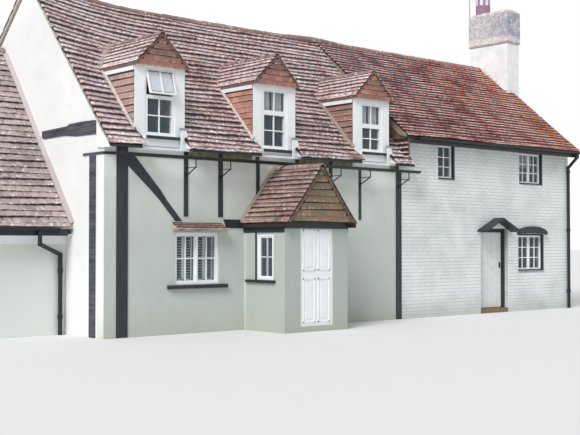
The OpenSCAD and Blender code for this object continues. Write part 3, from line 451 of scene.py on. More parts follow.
# The beam across the left gable has lost most of its tar and shows greyer oak.
grain = noise(420, 6, 2.0, (9, 1, 9))
grey_oak = finish("weathered_gable_oak", 0.8, "#2c2e36",
                  (("#5d5f6b", 1, spread(grain, 0.32, 0.72)),), ((grain, 7), (noise(160, 3), 12)))
paint(grey_oak, "gable_beams")

# ROOF TILES
# Plain tiles of hand thrown clay, about 170 wide, cambered, nailed to battens with a double
# lap, so each tail stands on the tiles below it. The old roofs wave and sag with their rafters.
tile_width = 0.172
laid_width = tile_width - 0.004
lap_rise = 0.015
tile_lengths = 2.15


def attribute(name):
    """Pattern that is a value carried by the blocks."""
    return lambda tree, place: add(tree, "ShaderNodeAttribute",
                                   {"attribute_name": name}).outputs["Fac"]


def fired_clay(name, tones, dark, fleck, cover, size=60, weather=(), pale=0.35, tail_shade=0.30):
    """Clay tile finish: tones by firing, painted shade under the tail of each tile above, worn
    pale tails and lichen.
    """
    tones = [linear("#" + tone) for tone in tones.split()]

    def firing(tree, place):
        ramp = add(tree, "ShaderNodeValToRGB", Fac=attribute("firing")(tree, place))
        stops = ramp.color_ramp.elements
        while len(stops) < len(tones):
            stops.new(0.5)
        for i, tone in enumerate(tones):
            stops[i].position = i / (len(tones) - 1)
            stops[i].color = tone
        return ramp.outputs[0]

    up = attribute("up_the_tile")
    return finish(name, 0.88, firing, (
        *weather,
        (dark, 0.4, patches(900, 4, 0.42, 0.66, 2.0)),
        (dark, 0.35, patches(90, 5, 0.45, 0.70, 6.0)),
        (fleck, pale, both(spread(up, 0.13, 0.02), patches(420, 4, 0.38, 0.60, 4.0))),
        (fleck, 0.85, both(patches(size, 5, 0.60 - cover, 0.68 - cover, 8.0),
                           patches(700, 3, 0.25, 0.50, 5.0), spread(up, 0.36, 0.12))),
        # Painted shade: a near black band just below the tail of the tile above.
        ("#150e11", 0.95, spread(up, tail_shade - 0.06, tail_shade + 0.02))),
        ((noise(26, 4), 3.0), (noise(7, 2), 0.8)))


def tiled(origin, heading, pitch, run, gauge, spans, lift, wave, uneven, low=0.035, short=0.05,
          foot=-0.035, rise=None):
    """Marks for one slope of a roof: an eaves course at the foot, then courses from low to
    short of the ridge. A double lapped tile lies flatter than its roof."""
    return set_out(slope(origin, heading, pitch, lift, wave, rise),
                   [foot] + courses(low, run - short, gauge), tile_width, spans,
                   lap_rise / gauge, uneven, run, tile_lengths * gauge)


def roof_tiles(name, marks, made, gauge, seed, thickness=0.018, loose=0.022, lift=0.060,
               camber=0.005):
    """One roof's tiles, twice as long as their gauge and a little more."""
    return lay_blocks(name, marks, made, (laid_width, tile_lengths * gauge, thickness),
                      camber, loose, -lift, seed)


eaves_out = 0.25
ridge_back = depth / 2
half_span = ridge_back + eaves_out
main_eaves = 3.27
main_pitch = math.radians(45.7)
main_run = half_span / math.cos(main_pitch)
main_gauge = 0.130
ridge_height = main_eaves + half_span * math.tan(main_pitch)
right_eaves = 3.88
right_pitch = math.atan((ridge_height - right_eaves) / half_span)
right_run = half_span / math.cos(right_pitch)
dormers = ((1.125, 4.675), (3.7475, 4.600), (6.37, 4.560))  # middle and eaves height of each
dormer_half = 0.525
dormer_pitch = math.radians(45.5)
dormer_rise = 0.040 / math.cos(dormer_pitch)
dormer_side = 0.555


def dormer_top(eaves):
    """Height of a dormer's ridge."""
    return eaves + dormer_half * math.tan(dormer_pitch) + dormer_rise


def left_lift(x):
    """Rise of the main ridge towards the left gable, which has held while the rafters sank."""
    return 0.30 * max(0.0, 1 - max(x, 0.0) / 2.6) ** 2


def steepness(x):
    """Rise of the main front slope for each metre back."""
    return math.tan(main_pitch) + left_lift(x) / half_span


def meets_main(height, x):
    """How far back the main front slope reaches a height."""
    return (height - main_eaves) / steepness(x) - eaves_out


def main_front_spans(row):
    """Covered lengths of the main front slope beside and above the dormers."""
    behind = row * math.cos(main_pitch) - eaves_out
    taper = 0.1275 * min(1.0, max(0.0, -behind) / eaves_out)
    edges = [-0.050]
    for middle, eaves in dormers:
        height = main_eaves + row * math.sin(main_pitch) + left_lift(middle) * row / main_run
        half = min(dormer_side - 0.01 if height > eaves else dormer_half + 0.055 - taper,
                   (dormer_top(eaves) - height) / math.tan(dormer_pitch))
        if half > 0.03:
            edges += [middle - half, middle + half]
    edges.append(7.405 if behind < -0.12 else 7.255)
    return list(zip(edges[0::2], edges[1::2]))


# Deep brown and purple tiles of the main range, thick with pale lichen. The left end is paler,
# and past the first dormer the lowest course is painted dark as painted shade.
old_tiles = fired_clay("lichened_brown_tiles", "7b5654 b4837d 956a66 c29a97 ba8674 957379",
                       "#665055", "#fbf5f6", 0.085, 45, (
                           ("#e3d6d9", 0.30, towards("X", -2.4, -4.4)),
                           ("#473c3f", 0.85, both(towards("Z", 3.33, 3.28),
                                                  towards("X", -3.5, -3.3)))), 0.85, 0.305)
marks = tiled((0, -eaves_out, main_eaves), 0, main_pitch, main_run, main_gauge, main_front_spans,
              0.010, 0.022, 0.015, rise=lambda u, v: left_lift(u) * v / main_run)
roof_tiles("main_front_tiles", marks, old_tiles, main_gauge, 3, loose=0.032)
marks = tiled((0, depth + eaves_out, right_eaves), math.pi, right_pitch, right_run, main_gauge,
              lambda row: [(-7.255, 0.050)], 0.010, 0.022, 0.008,
              rise=lambda u, v: left_lift(-u) * v / right_run)
roof_tiles("main_rear_tiles", marks, old_tiles, main_gauge, 4)

# Beside the brick range a few hung courses close the step in front of the main slope.
marks = set_out(slope((7.232, 0, 0), -UPRIGHT, UPRIGHT, 0.004), [3.30, 3.40, 3.50, 3.60, 3.69],
                tile_width, lambda row: [((main_eaves - row) / math.tan(main_pitch) + eaves_out,
                                          0.245)], 0.05, 0.004)
lay_blocks("swept_tiles", marks, old_tiles, (laid_width, 0.115, 0.014), 0.0,
           0.02, -0.05, 16)

# The right range has smaller gauge tiles of redder clay, with a ragged patch of renewed orange
# ones towards the chimney and smoke stains at the upper left.
red_tiles = fired_clay("red_sandfaced_tiles", "7e4348 a45b5c 8c4a4e ba6d66 aa5b57 804a55",
                       "#4b2a33", "#fdd2c6", 0.030, 60, (
                           ("#e87c4c", 0.95, both(towards("X", 4.6, 7.6),
                                                  patches(1100, 4, 0.36, 0.56, 4.0))),
                           ("#a294aa", 0.40, both(towards("X", 5.2, 3.2),
                                                  towards("Z", 4.5, 5.5)))), 1.0, 0.172)
right_gauge = 0.118
verge, stack_side = 13.465, 13.14


def right_spans(row):
    """Covered length of the right front or rear slope, stopped at the chimney stack."""
    inward = row * math.cos(right_pitch) - eaves_out
    if heading:
        return [(-stack_side if depth - inward < 3.04 else -verge, -brick_start)]
    return [(7.19, stack_side if inward > 1.62 else verge)]


for name, y, heading, seed in (("right_front_tiles", -eaves_out, 0, 5),
                               ("right_rear_tiles", depth + eaves_out, math.pi, 6)):
    marks = tiled((0, y, right_eaves), heading, right_pitch, right_run, right_gauge, right_spans,
                  0.008, 0.020, 0.009, 0.025, 0.04)
    roof_tiles(name, marks, red_tiles, right_gauge, seed, 0.017, 0.018, 0.045)

# The wing's tiles are the greyest and the most uneven.
wing_pitch = math.radians(52.3)
wing_front_edge = 1.0
wing_eaves = 1.90
wing_ridge_back = 3.66
wing_run = (wing_ridge_back - wing_front_edge) / math.cos(wing_pitch)
wing_rear_run = (depth + eaves_out - wing_ridge_back) / math.cos(wing_pitch)
wing_ridge = wing_eaves + wing_run * math.sin(wing_pitch)
wing_gauge = 0.140
grey_tiles = fired_clay("greyed_wing_tiles", "8f8080 ac9b97 b9a8a3 9d8e8c c2aea8 8d8182",
                        "#7b6f70", "#ece6e5", 0.050, pale=0.3, tail_shade=0.41)
for name, y, z, heading, run, span, seed in (
        ("wing_front_tiles", wing_front_edge, wing_eaves, 0, wing_run, (-3.715, -0.075), 7),
        ("wing_rear_tiles", depth + eaves_out, wing_ridge - wing_rear_run * math.sin(wing_pitch),
         math.pi, wing_rear_run, (0.045, 3.715), 8)):
    marks = tiled((0, y, z), heading, wing_pitch, run, wing_gauge, lambda row: [span], 0.010,
                  0.030, 0.012, 0.03)
    roof_tiles(name, marks, grey_tiles, wing_gauge, seed, 0.016, 0.045, 0.070, 0.006)

# PORCH AND DORMER ROOFS
# The porch and the three dormers are roofed in the same plain tiles, two slopes each, cut
# where the dormers run into the main slope.
porch_middle = 3.78
porch_half = 0.841
porch_pitch = math.radians(51.5)
porch_eaves = 1.97
porch_reach = 1.311
porch_ridge = porch_eaves + porch_half * math.tan(porch_pitch)
porch_run = porch_half / math.cos(porch_pitch)
porch_gauge = 0.109
porch_tiles = fired_clay("porch_tiles", "7f5f58 99736b 8e6961 a77e73 ad8172 886c65",
                         "#5c4e4c", "#ddd0c8", 0.030, pale=0.6, tail_shade=0.34)
marks = []
for side in (-1, 1):
    span = sorted((-side * 0.03, -side * (porch_reach + 0.01)))
    marks += tiled((porch_middle + side * porch_half, 0, porch_eaves), side * UPRIGHT,
                   porch_pitch, porch_run, porch_gauge, lambda row: [span], 0.008, 0.020, 0.009,
                   0.03, 0.04, -0.02)
roof_tiles("porch_tile_slopes", marks, porch_tiles, porch_gauge, 9, 0.016, 0.024, 0.040)

# The dormers' tiles have bleached more than those of the main slope below them.
light_tiles = fired_clay("bleached_dormer_tiles", "8d6864 c3938c a87a75 d1a9a5 c99683 a68288",
                         "#7a6166", "#fbf5f6", 0.095, 45, pale=0.9, tail_shade=0.315)
dormer_run = dormer_side / math.cos(dormer_pitch)
dormer_gauge = 0.126
marks = []
for middle, eaves in dormers:
    edge = eaves - (dormer_side - dormer_half) * math.tan(dormer_pitch) + dormer_rise
    for side in (-1, 1):

        def back_to_main(row):
            """Covered length of a dormer's course, from the verge back to the main slope."""
            behind = meets_main(edge + row * math.sin(dormer_pitch), middle - 0.3) + 0.05
            return [(-behind, 0.090) if side < 0 else (-0.090, behind)]

        marks += tiled((middle + side * dormer_side, 0, edge), side * UPRIGHT, dormer_pitch,
                       dormer_run, dormer_gauge, back_to_main, 0.006, 0.014, 0.007, 0.05, 0.03,
                       0.0)
roof_tiles("dormer_tile_slopes", marks, light_tiles, dormer_gauge, 10, 0.014, 0.020, 0.045)

# Mortar pointed under the verges and the tile ends shows as pale edges all round the slabs,
# browner on the brick range's roof, and is painted dark along the front eaves as painted shade
# under the tiles.
gritty = noise(40, 4)
bedding = mottled("verge_bedding_mortar", 0.92, "#9c948a", "#cdc6bc", 50, 5, 0.35, 0.7, 0.0, (
    ("#75604d", 0.75, towards("X", 2.02, 2.08)),
    ("#2b2629", 1, towards("Y", -2.37, -2.41))), ((gritty, 5),))
paint(bedding, "main_front_roof", "main_rear_roof", "right_front_roof", "right_rear_roof",
      "wing_front_roof", "wing_rear_roof")

# Moss grows on the porch's bedding, which is painted dark under the eaves as painted shade, and
# under the dormer verges the bedding is stained as brown as the tiles.
mossy = mottled("mossy_bedding_mortar", 0.95, "#55493c", "#857660", 60, 5, 0.35, 0.65, 0.0,
                (("#2a2522", 1, towards("Z", 1.990, 1.965)),), ((gritty, 6),))
paint(mossy, "porch_roof")
undercloak = mottled("stained_undercloak", 0.93, "#5f4a46", "#8d7269", 50, 5, 0.35, 0.7,
                     bumps=((gritty, 5),))
paint(undercloak, "dormer_roofs")

# HUNG TILES
# The dormer cheeks and all the small gables are hung with the same tiles nailed upright. The
# cheeks keep their orange red, though the first has bleached and the third has darkened.
hung_tiles = fired_clay("orange_hung_tiles", "b87e6c c98f7c ad7666 d09e8a 8f6c63 c08a77",
                        "#8c7064", "#ead8cc", 0.020, 60, (
                            ("#c3b3b8", 0.45, towards("X", -3.0, -3.4)),
                            ("#6f5258", 0.50, towards("X", 0.2, 0.6))), 0.3, 0.46)

# The gables have weathered brown, most of all above their lowest course, and the porch's
# gable is mossy.
brown_hung_tiles = fired_clay("brown_hung_tiles", "9a6a60 b07565 a36c60 ba8070 8e6b63 a97163",
                              "#67534d", "#cbbcb3", 0.035, 40, (
                                  ("#6c5a57", 0.75, both(towards("Z", 4.76, 4.90),
                                                         patches(130, 5, 0.30, 0.55, 9.0))),),
                              0.2, 0.80)
mossy_hung_tiles = fired_clay("mossy_hung_tiles", "786656 8f7059 83695a 967965 766a57 84705c",
                              "#5d5144", "#a9a184", 0.085, pale=0.2, tail_shade=0.75)
hung_gauge = 0.115
cheek_foot = 3.5
cheek_tile = 0.225


def in_gable(middle, height, pitch):
    """Covered lengths of a small gable's courses, which narrow up to a height."""

    def spans(row):
        half = (height - row) / math.tan(pitch)
        return [(middle - half, middle + half)] if half > 0.03 else []

    return spans


cheeks, gables = [], []
for middle, eaves in dormers:
    for side in (-1, 1):

        def beside_cheek(row):
            """Covered length of a cheek's course, from the front back to the main slope."""
            behind = meets_main(cheek_foot + row, middle - 0.5) + 0.03
            return [(-behind, -0.012) if side < 0 else (0.012, behind)]

        cheeks += set_out(slope((middle + side * dormer_half, 0, cheek_foot), side * UPRIGHT,
                                UPRIGHT, 0.006),
                          courses(0.0, eaves - cheek_foot - 0.10, hung_gauge), tile_width,
                          beside_cheek, 0.05, 0.005, eaves - cheek_foot - 0.05, cheek_tile)
    gables += set_out(slope((0, -0.07, eaves), 0, UPRIGHT, 0.003),
                      [-0.015] + courses(0.085, 0.5, 0.10), tile_width,
                      in_gable(middle, dormer_half * math.tan(dormer_pitch) - 0.055,
                               dormer_pitch), 0.02, 0.003)
porch_gable_foot = 2.0
porch_gable = set_out(slope((0, 0.04 - porch_reach, porch_gable_foot), 0, UPRIGHT, 0.006),
                      [-0.01] + courses(0.09, 0.95, hung_gauge), tile_width,
                      in_gable(porch_middle, porch_ridge - porch_gable_foot - 0.14, porch_pitch),
                      0.05, 0.006)
for name, marks, made, length, thickness, seed in (
        ("cheek_tiles", cheeks, hung_tiles, cheek_tile, 0.013, 12),
        ("gable_tiles", gables, brown_hung_tiles, 0.118, 0.009, 13),
        ("porch_gable_tiles", porch_gable, mossy_hung_tiles, 0.145, 0.013, 15)):
    lay_blocks(name, marks, made, (laid_width, length, thickness), 0.002, 0.014,
               -3 * thickness, seed)
paint(brown_hung_tiles, "hung_gables")
paint(hung_tiles, "dormer_cheeks")

# RIDGES
# Half round ridge tiles of clay, about 330 long, bedded end to end in lime mortar, so they
# rise and turn a little from one to the next. Those of the right range keep their red.
ridge_clay = fired_clay("ridge_clay", "8a6b65 9c7b73 83665f a58780", "#5b4a4c", "#d5cbc8", 0.045,
                        60, (("#bb7468", 0.75, towards("X", 2.4, 6.5)),), 0.1)
ridge_sunk = 0.052


def settled(x):
    """Height of the main ridge tiles above the slab's ridge: they stand up at the right end."""
    return 0.05 * math.exp(-((x - 7.15) / 0.7) ** 2)


def ridge_row(path, seed, radius=0.095, length=0.335):
    """Half round tiles, closed and slightly tapered, end to end along a line of places."""
    chance = random.Random(seed)
    mesh = bmesh.new()
    layer = mesh.verts.layers.float.new("firing")
    path = [Vector(place) for place in path]
    thickness, joint, jog_most = 0.016, 0.003, 0.005
    turns = [math.radians(-28 + 29.5 * k) for k in range(9)]
    total = sum((b - a).length for a, b in zip(path, path[1:]))
    count = max(1, round(total / length))

    def at(distance):
        """Place at a distance along the line."""
        for a, b in zip(path, path[1:]):
            if distance <= (b - a).length + 1e-6:
                return a.lerp(b, distance / (b - a).length)
            distance -= (b - a).length
        return path[-1].copy()

    for i in range(count):
        start, end = at(total * i / count + joint), at(total * (i + 1) / count - joint)
        jog = Vector((0, 0, chance.uniform(-jog_most, jog_most)))
        side = (end - start).cross(Vector((0, 0, 1))).normalized()
        tone = chance.random()
        rings = []
        for place, size in ((start + jog, radius), (end + jog, radius - 0.006)):
            arc = [(size, a) for a in turns] + [(size - thickness, a) for a in reversed(turns)]
            rings.append([place + side * (r * math.cos(a)) + Vector((0, 0, r * math.sin(a)))
                          for r, a in arc])
        for vert in loft(mesh, rings):
            vert[layer] = tone
    return model("ridge", mesh, ridge_clay)


def fuse(name, parts):
    """Joins plain meshes into one settled piece with the given name."""
    bpy.ops.object.select_all(action="DESELECT")
    for part in parts:
        part.select_set(True)
    bpy.context.view_layer.objects.active = parts[0]
    bpy.ops.object.join()
    parts[0].name = name
    parts[0].data.name = name
    return settle(parts[0])


main_path = [(x, ridge_back, ridge_height + left_lift(x) + settled(x) - ridge_sunk)
             for x in (-0.05 + 0.3 * i for i in range(45))]
wing_path = [(x, wing_ridge_back, wing_ridge - ridge_sunk) for x in (-3.7, -0.03)]
ridges = fuse("ridge_tile_rows", [ridge_row(main_path, 21), ridge_row(wing_path, 22)])
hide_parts("ridge_tiles")

# The porch and the dormers have smaller ridge tiles laid front to back.
runs = []
for index, (middle, eaves) in enumerate(dormers):
    top = dormer_top(eaves)
    runs.append(ridge_row([(middle, -0.09, top - ridge_sunk),
                           (middle, meets_main(top, middle) + 0.06, top - 0.046)],
                          30 + index, 0.072, 0.30))
runs.append(ridge_row([(porch_middle, -porch_reach, porch_ridge - 0.062),
                       (porch_middle, 0, porch_ridge - 0.045)], 34, 0.078, 0.33))
fuse("small_ridge_tiles", runs)

# LEAD, MORTAR AND BOARDS
# Lead soakers and mortar fillets close the joints between roofs and walls. They weather to
# a pale speckled grey, browner towards the right, round the porch and duller at the wing.
mortar = mottled("weathered_mortar_and_lead", 0.85, "#b3a79f", "#e4dcd3", 45, 5, 0.35, 0.7, 0.0, (
    ("#82705f", 0.7, towards("X", -0.6, 0.6)),
    ("#6f5f54", 0.65, towards("Z", 3.2, 3.1)),
    ("#bcb0b0", 0.8, towards("X", -4.985, -4.992))), ((noise(30, 4), 3),))

# At the stack the mortar is newer and almost white.
new_mortar = mottled("pale_new_mortar", 0.9, "#aca59a", "#ece8e0", 60, 5, 0.40, 0.65, 5.0,
                     bumps=((noise(30, 4), 3),))


def strip(start, end, side, face, made, width, height, seed=13):
    """Fillet of triangular section from start to end, filling the corner between a slope that
    spreads towards side and an upright face that rises towards face."""
    rings = []
    steps, nose = 12, 0.034
    chance = random.Random(seed)
    for i in range(steps + 1):
        at = Vector(start).lerp(Vector(end), i / steps)
        wobble = 1 + chance.uniform(-0.06, 0.06)
        rings.append([at + Vector(side) * a + Vector(face) * b for a, b in
                      ((0, 0), (width * wobble, 0), (width * wobble * 0.92, nose),
                       (width * 0.35, nose + height * 0.25), (0, height * wobble))])
    return solid("strip", rings, made)


def off_slope(pitch):
    """Direction straight out of a slope that rises backwards."""
    return (0, -math.sin(pitch), math.cos(pitch))


fillets = []
for middle, eaves in dormers:
    for side in (-1, 1):
        x = middle + side * dormer_half
        fillets.append(strip((x, 0.0, main_eaves + eaves_out * steepness(x)),
                             (x, meets_main(eaves - 0.02, x), eaves - 0.02), (side, 0, 0),
                             off_slope(math.atan(steepness(x))), mortar, 0.048, 0.070))
ends = [(0, y, wing_eaves + (y - wing_front_edge) * math.tan(wing_pitch)) for y in (1.02, 3.55)]
fillets.append(strip(*ends, (-1, 0, 0), off_slope(wing_pitch), mortar, 0.080, 0.080))
fillets = fuse("mortar_fillets", fillets)
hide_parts("roof_flashings")
paint(mortar, "roof_flashings")

# Fillets where the porch meets the front wall and where the stack rises through the roof.
stack_face = 13.2
stack_foot = right_eaves + (stack_front + eaves_out) * math.tan(right_pitch)
ridge_end = (stack_face, ridge_back, ridge_height)
fillets = [strip((porch_middle + side * porch_half, 0, porch_eaves),
                 (porch_middle, 0, porch_ridge), (0, -1, 0),
                 (side * math.sin(porch_pitch), 0, math.cos(porch_pitch)), mortar, 0.05, 0.070)
           for side in (-1, 1)]
fillets += [strip((stack_face, 1.70, right_eaves + 1.95 * math.tan(right_pitch)),
                  ridge_end, (-1, 0, 0), off_slope(right_pitch), new_mortar, 0.05, 0.07),
            strip(ridge_end, (stack_face, 3.0, ridge_height - 0.35 * math.tan(right_pitch)),
                  (-1, 0, 0), off_slope(-right_pitch), new_mortar, 0.05, 0.07, 18),
            strip((stack_face - 0.06, stack_front, stack_foot), (13.45, stack_front, stack_foot),
                  (0, -1, 0), (0, 0, 1), new_mortar, 0.06, 0.09, 19)]
fuse("pointing_fillets", fillets)

# The cross gable above the main roof is boarded in brown weathered oak.
grain = noise(300, 6, grain=(2, 1, 10))
brown_boards = finish("weathered_brown_boards", 0.85, "#4f4031",
                      (("#8b7558", 1, spread(grain, 0.35, 0.7)),), ((grain, 6),))
paint(brown_boards, "cross_gable_boards")

# WHITE JOINERY
# Windows, dormer fronts and eaves boards are softwood under white oil paint with a soft
# sheen, slightly chalky where the weather reaches it.
white_paint = finish("white_oil_paint", 0.42, "#eff2f3",
                     (("#dde2e4", 0.5, patches(160, 4, 0.45, 0.75)),))
paint(white_paint, "dormer_fronts", "dormer_windows", "dormer_top_lights", "wall_windows",
      "porch_door")

# Where an eaves board runs back along the gable the limewash laps over it.
limed_boards = finish("limed_eaves_boards", 0.7, "#eff2f3",
                      (("#ececea", 1, towards("Y", -2.20, -2.17)),))
paint(limed_boards, "eaves_boards")


def boxes(name, corners, made, turn=None):
    """Plain mesh of boxes, each given by its lowest and highest corner."""
    mesh = bmesh.new()
    for low, high in corners:
        low, high = Vector(low), Vector(high)
        cube = bmesh.ops.create_cube(mesh, size=1.0)["verts"]
        bmesh.ops.scale(mesh, vec=high - low, verts=cube)
        bmesh.ops.translate(mesh, vec=(low + high) / 2, verts=cube)
    if turn:
        bmesh.ops.transform(mesh, matrix=turn, verts=mesh.verts)
    return model(name, mesh, made)


def trim(name, corners, made, slot, body="house"):
    """Settled piece made of boxes."""
    return settle(boxes(name, corners, made), body)


joinery = (white_paint, "white_joinery")
timber = (black_oak, "black_timber")


def about(x, half, front, back, low, high):
    """Corners of a box that reaches half its width to either side of x."""
    return (x - half, front, low), (x + half, back, high)


def framed(left, right, low, high, front, back, stile, rail):
    """Corners of two stiles and two rails round a panel."""
    return [((left, front, low), (left + stile, back, high)),
            ((right - stile, front, low), (right, back, high)),
            ((left, front, low), (right, back, low + rail)),
            ((left, front, high - rail), (right, back, high))]


# Glazing bars, 20 wide, divide every sash into small panes.
bar_half, bar_deep, bar_housed = 0.010, 0.030, 0.01
frame_wide, sash_wide = 0.036, 0.026


def pane_bars(left, right, bottom, top, y, columns, rows):
    """Bars of one sash between the clear edges of its glass, front face at y."""
    found = []
    for i in range(1, columns):
        found.append(about(left + (right - left) * i / columns, bar_half, y, y + bar_deep,
                           bottom - bar_housed, top + bar_housed))
    for i in range(1, rows):
        z = bottom + (top - bottom) * i / rows
        found.append(((left - bar_housed, y + 0.002, z - bar_half),
                      (right + bar_housed, y + bar_deep - 0.002, z + bar_half)))
    return found


def window_bars(window, y, lights, columns, rows):
    """Bars of a window with lights side by side, front face of its sashes at y."""
    left, bottom, width, height = window
    clear = (width - (lights + 1) * frame_wide) / lights
    found = []
    for i in range(lights):
        a = left + frame_wide + i * (clear + frame_wide) + sash_wide
        found += pane_bars(a, a + clear - 2 * sash_wide, bottom + frame_wide + sash_wide,
                           bottom + height - frame_wide - sash_wide, y, columns, rows)
    return found


front_window = (1.451, 0.873, 0.964, 0.908)
bars = window_bars(front_window, 0.037, 2, 2, 2)
for window, lights in zip(right_windows, (1, 2, 2)):
    bars += window_bars(window, 0.067, lights, 2, 3)
rear_sashes = depth - 0.069
for window in ((1.5, 0.93, 0.86, 0.87), (4.7, 0.93, 0.86, 0.87), *right_rear_windows,
               (-2.3, 0.93, 0.86, 0.80)):
    bars += window_bars(window, rear_sashes, 2, 2, 3)
trim("wall_window_bars", bars, *joinery)
bars = [about(porch_middle + side * 0.721, 0.015, low[0], high[0], low[2], high[2])
        for side in (-1, 1)
        for low, high in window_bars((-0.842, 0.94, 0.453, 0.814), 0, 1, 2, 2)]
trim("porch_window_bars", bars, *joinery)

# A black post stands beside each porch window under a dark plate at the eaves, and the
# porch door is framed and panelled.
porch_faces = [porch_middle + side * 0.776 for side in (-1, 1)]
trim("porch_posts", [about(x, 0.012, -0.375, -0.338, 0.93, 1.93) for x in porch_faces], *timber)
trim("porch_wall_plates", [about(x, 0.016, -1.148, -0.002, 1.79, 1.925) for x in porch_faces],
     *timber)
door = []
for low, high in ((0.16, 0.96), (1.10, 1.84)):
    for left, right in ((3.45, 3.745), (3.815, 4.11)):
        door += framed(left, right, low, high, -1.142, -1.131, 0.022, 0.022)
        door.append(((left + 0.07, -1.138, low + 0.07), (right - 0.07, -1.131, high - 0.07)))
trim("porch_door_mouldings", door, *joinery)

# Each dormer has a casement under a top light, and the first top light stands open.
dormer_lights = ((3.46, 4.15, 4.66), (3.38, 4.07, 4.53), (3.47, 4.005, 4.48))  # sill to head
hinges = [Matrix.Translation((middle, 0.010, head - 0.036))
          for (middle, eaves), (sill, transom, head) in zip(dormers, dormer_lights)]
hinges[0] = hinges[0] @ Matrix.Rotation(math.radians(-17), 4, "X")
bars, light_bars = [], []
for (middle, eaves), (sill, transom, head), hinge in zip(dormers, dormer_lights, hinges):
    bars += pane_bars(middle - 0.253, middle + 0.253, sill + 0.062, transom - 0.044, 0.02, 2, 2)
    tall = head - transom - 0.054
    light_bars.append(boxes("light_bar", [about(0, bar_half, 0.001, bar_deep, 0.02 - tall,
                                                -0.02)], white_paint, hinge))
fuse("dormer_window_bars", [boxes("casement_bars", bars, white_paint)] + light_bars)

# A white board closes the dormer eaves above each cheek.
trim("dormer_eaves_boards",
     [about(middle + side * 0.537, 0.011, 0.02, meets_main(eaves - 0.02, middle - 0.5),
            eaves - 0.105, eaves - 0.02) for middle, eaves in dormers for side in (-1, 1)],
     *joinery)

# Between the dormers a thin olive strip covers the wall top between the gutter and the plate as
# painted shade under the eaves, crossed by the stubs of the studs, and a lip of lead runs along
# each dormer's apron.
eaves_shade_render = mottled("olive_eaves_shade", 0.95, "#6f6d55", "#97937a", 90, 4, 0.35, 0.7)
trim("shaded_eaves_strip", [((left, -0.005, 3.137), (right, -0.001, 3.24))
                          for left, right in ((1.67, 3.20), (4.29, 5.82), (6.92, 7.19))],
     eaves_shade_render, "lime_render")
lead = finish("grey_lead", 0.6, "#8e9396")
trim("apron_leads", [about(middle, 0.505, -0.064, -0.024, 3.262, 3.272)
                     for middle, eaves in dormers], lead, "mortar_and_lead")
trim("stud_stubs", [about(x, 0.045, -0.015, -0.006, 3.134, 3.24)
                    for x in (1.678, 2.449, 3.32, 4.315, 5.206, 7.13)], *timber)


def cut_board(name, outline, front, back, made):
    """Board cut to an outline of (x, z) places and standing parallel to the front."""
    return solid(name, [[(x, y, z) for x, z in outline] for y in (front, back)], made)


# A cut board closes the end of the roof at the right of each dormer, with a lead cap on top.
fuse("roof_end_boards",
     [cut_board("end", ((middle + 0.385, 3.215), (middle + 0.645, 3.215), (middle + 0.500, 3.590),
                        (middle + 0.395, 3.590)), -0.088, -0.066, white_paint)
      for middle, eaves in dormers])
trim("roof_end_caps", [((middle + 0.375, -0.095, 3.585), (middle + 0.520, -0.040, 3.620))
                       for middle, eaves in dormers], lead, "mortar_and_lead")

# A black drip board runs under each dormer sill.
trim("dormer_drip_boards",
     [((middle - 0.31, -0.066, sill - 0.060), (middle + 0.43, -0.048, sill - 0.004))
      for (middle, eaves), (sill, transom, head) in zip(dormers, dormer_lights)], *timber)

# GLASS, SHUTTERS AND CURTAINS
# Thin drawn glass, dark because the rooms behind it are unlit, with sky in its surface.
# Louvred shutters stand behind the front window, two to each light.
glass = finish("drawn_window_glass", 0.03, "#8496a4", bumps=((noise(160, 1), 1.2),), Alpha=0.15)
paint(glass, "window_glass")
clear = (front_window[2] - 3 * frame_wide) / 2
leaf_pitch = (clear - 0.03) / 2
shutters, marks = [], []
for light in range(2):
    left = front_window[0] + frame_wide + light * (clear + frame_wide)
    for leaf in range(2):
        edge = left + 0.015 + leaf * leaf_pitch
        shutters += framed(edge, edge + leaf_pitch - 0.004, 0.90, 1.76, 0.115, 0.140, 0.022,
                           0.055)
    marks += [((left + clear / 2, 0.122, 0.965 + 0.048 * k), (0.20, 0, 0), (1, 1, 1))
              for k in range(15)]
trim("louvred_shutters", shutters, *joinery)
lay_blocks("shutter_slats", marks, white_paint, (clear - 0.04, 0.022, 0.005),
           0.0, 0.0, 0.0, 1, 2)

# Net curtains hang in soft folds behind the top lights and one upper window, and a flat net,
# painted near white as a painted sky reflection on the open glass, is fixed to the first dormer's
# open light.
net = finish("net_curtain", 0.9, "#d4d8d8")
sky_glare_net = finish("net_with_painted_reflection", 0.9, "#fbfcfc")


def curtain(left, right, bottom, top, y, folds, cloth):
    """Wavy closed sheet behind one window."""
    steps = folds * 6
    rings = []
    for k in range(steps + 1):
        x = left + (right - left) * k / steps
        front = y + 0.014 * math.sin(2 * math.pi * k / 6) + 0.004 * math.sin(k * 1.7)
        back = front + 0.003
        rings.append([(x, front, bottom), (x, back, bottom), (x, back, top), (x, front, top)])
    return solid("curtain", rings, cloth)


curtains = [curtain(middle + a, middle + b, transom - 0.02, head - 0.02, 0.125, 3, net)
            for (middle, eaves), (sill, transom, head) in zip(dormers[1:], dormer_lights[1:])
            for a, b in ((-0.27, -0.03), (0.03, 0.27))]
curtains.append(curtain(11.38, 12.21, 3.42, 3.74, 0.30, 8, net))
curtains.append(boxes("net", [((-0.235, 0.024, -0.405), (0.235, 0.027, -0.045))], sky_glare_net,
                      hinges[0]))
fuse("net_curtains", curtains)

# Curtains of dark grey cloth are drawn across the two rear ground windows, a dark sheet that keeps
# the room seen through the front window dark as painted shade.
shade_cloth = finish("dark_cloth_for_shade", 0.95, "#3a4147")
fuse("dark_rear_curtains", [curtain(left, left + 0.98, 0.86, 1.88, 5.03, 9, shade_cloth)
                        for left in (1.44, 4.84)])

# The brick range's windows have black linings at the right and top of their reveals.
linings = []
for left, bottom, width, height in right_windows:
    right, top = left + width, bottom + height
    linings += [((right - 0.030, -0.006, bottom), (right + 0.022, 0.050, top)),
                ((left, -0.006, top - 0.018), (right - 0.030, 0.050, top + 0.014))]
trim("reveal_linings", linings, *timber)

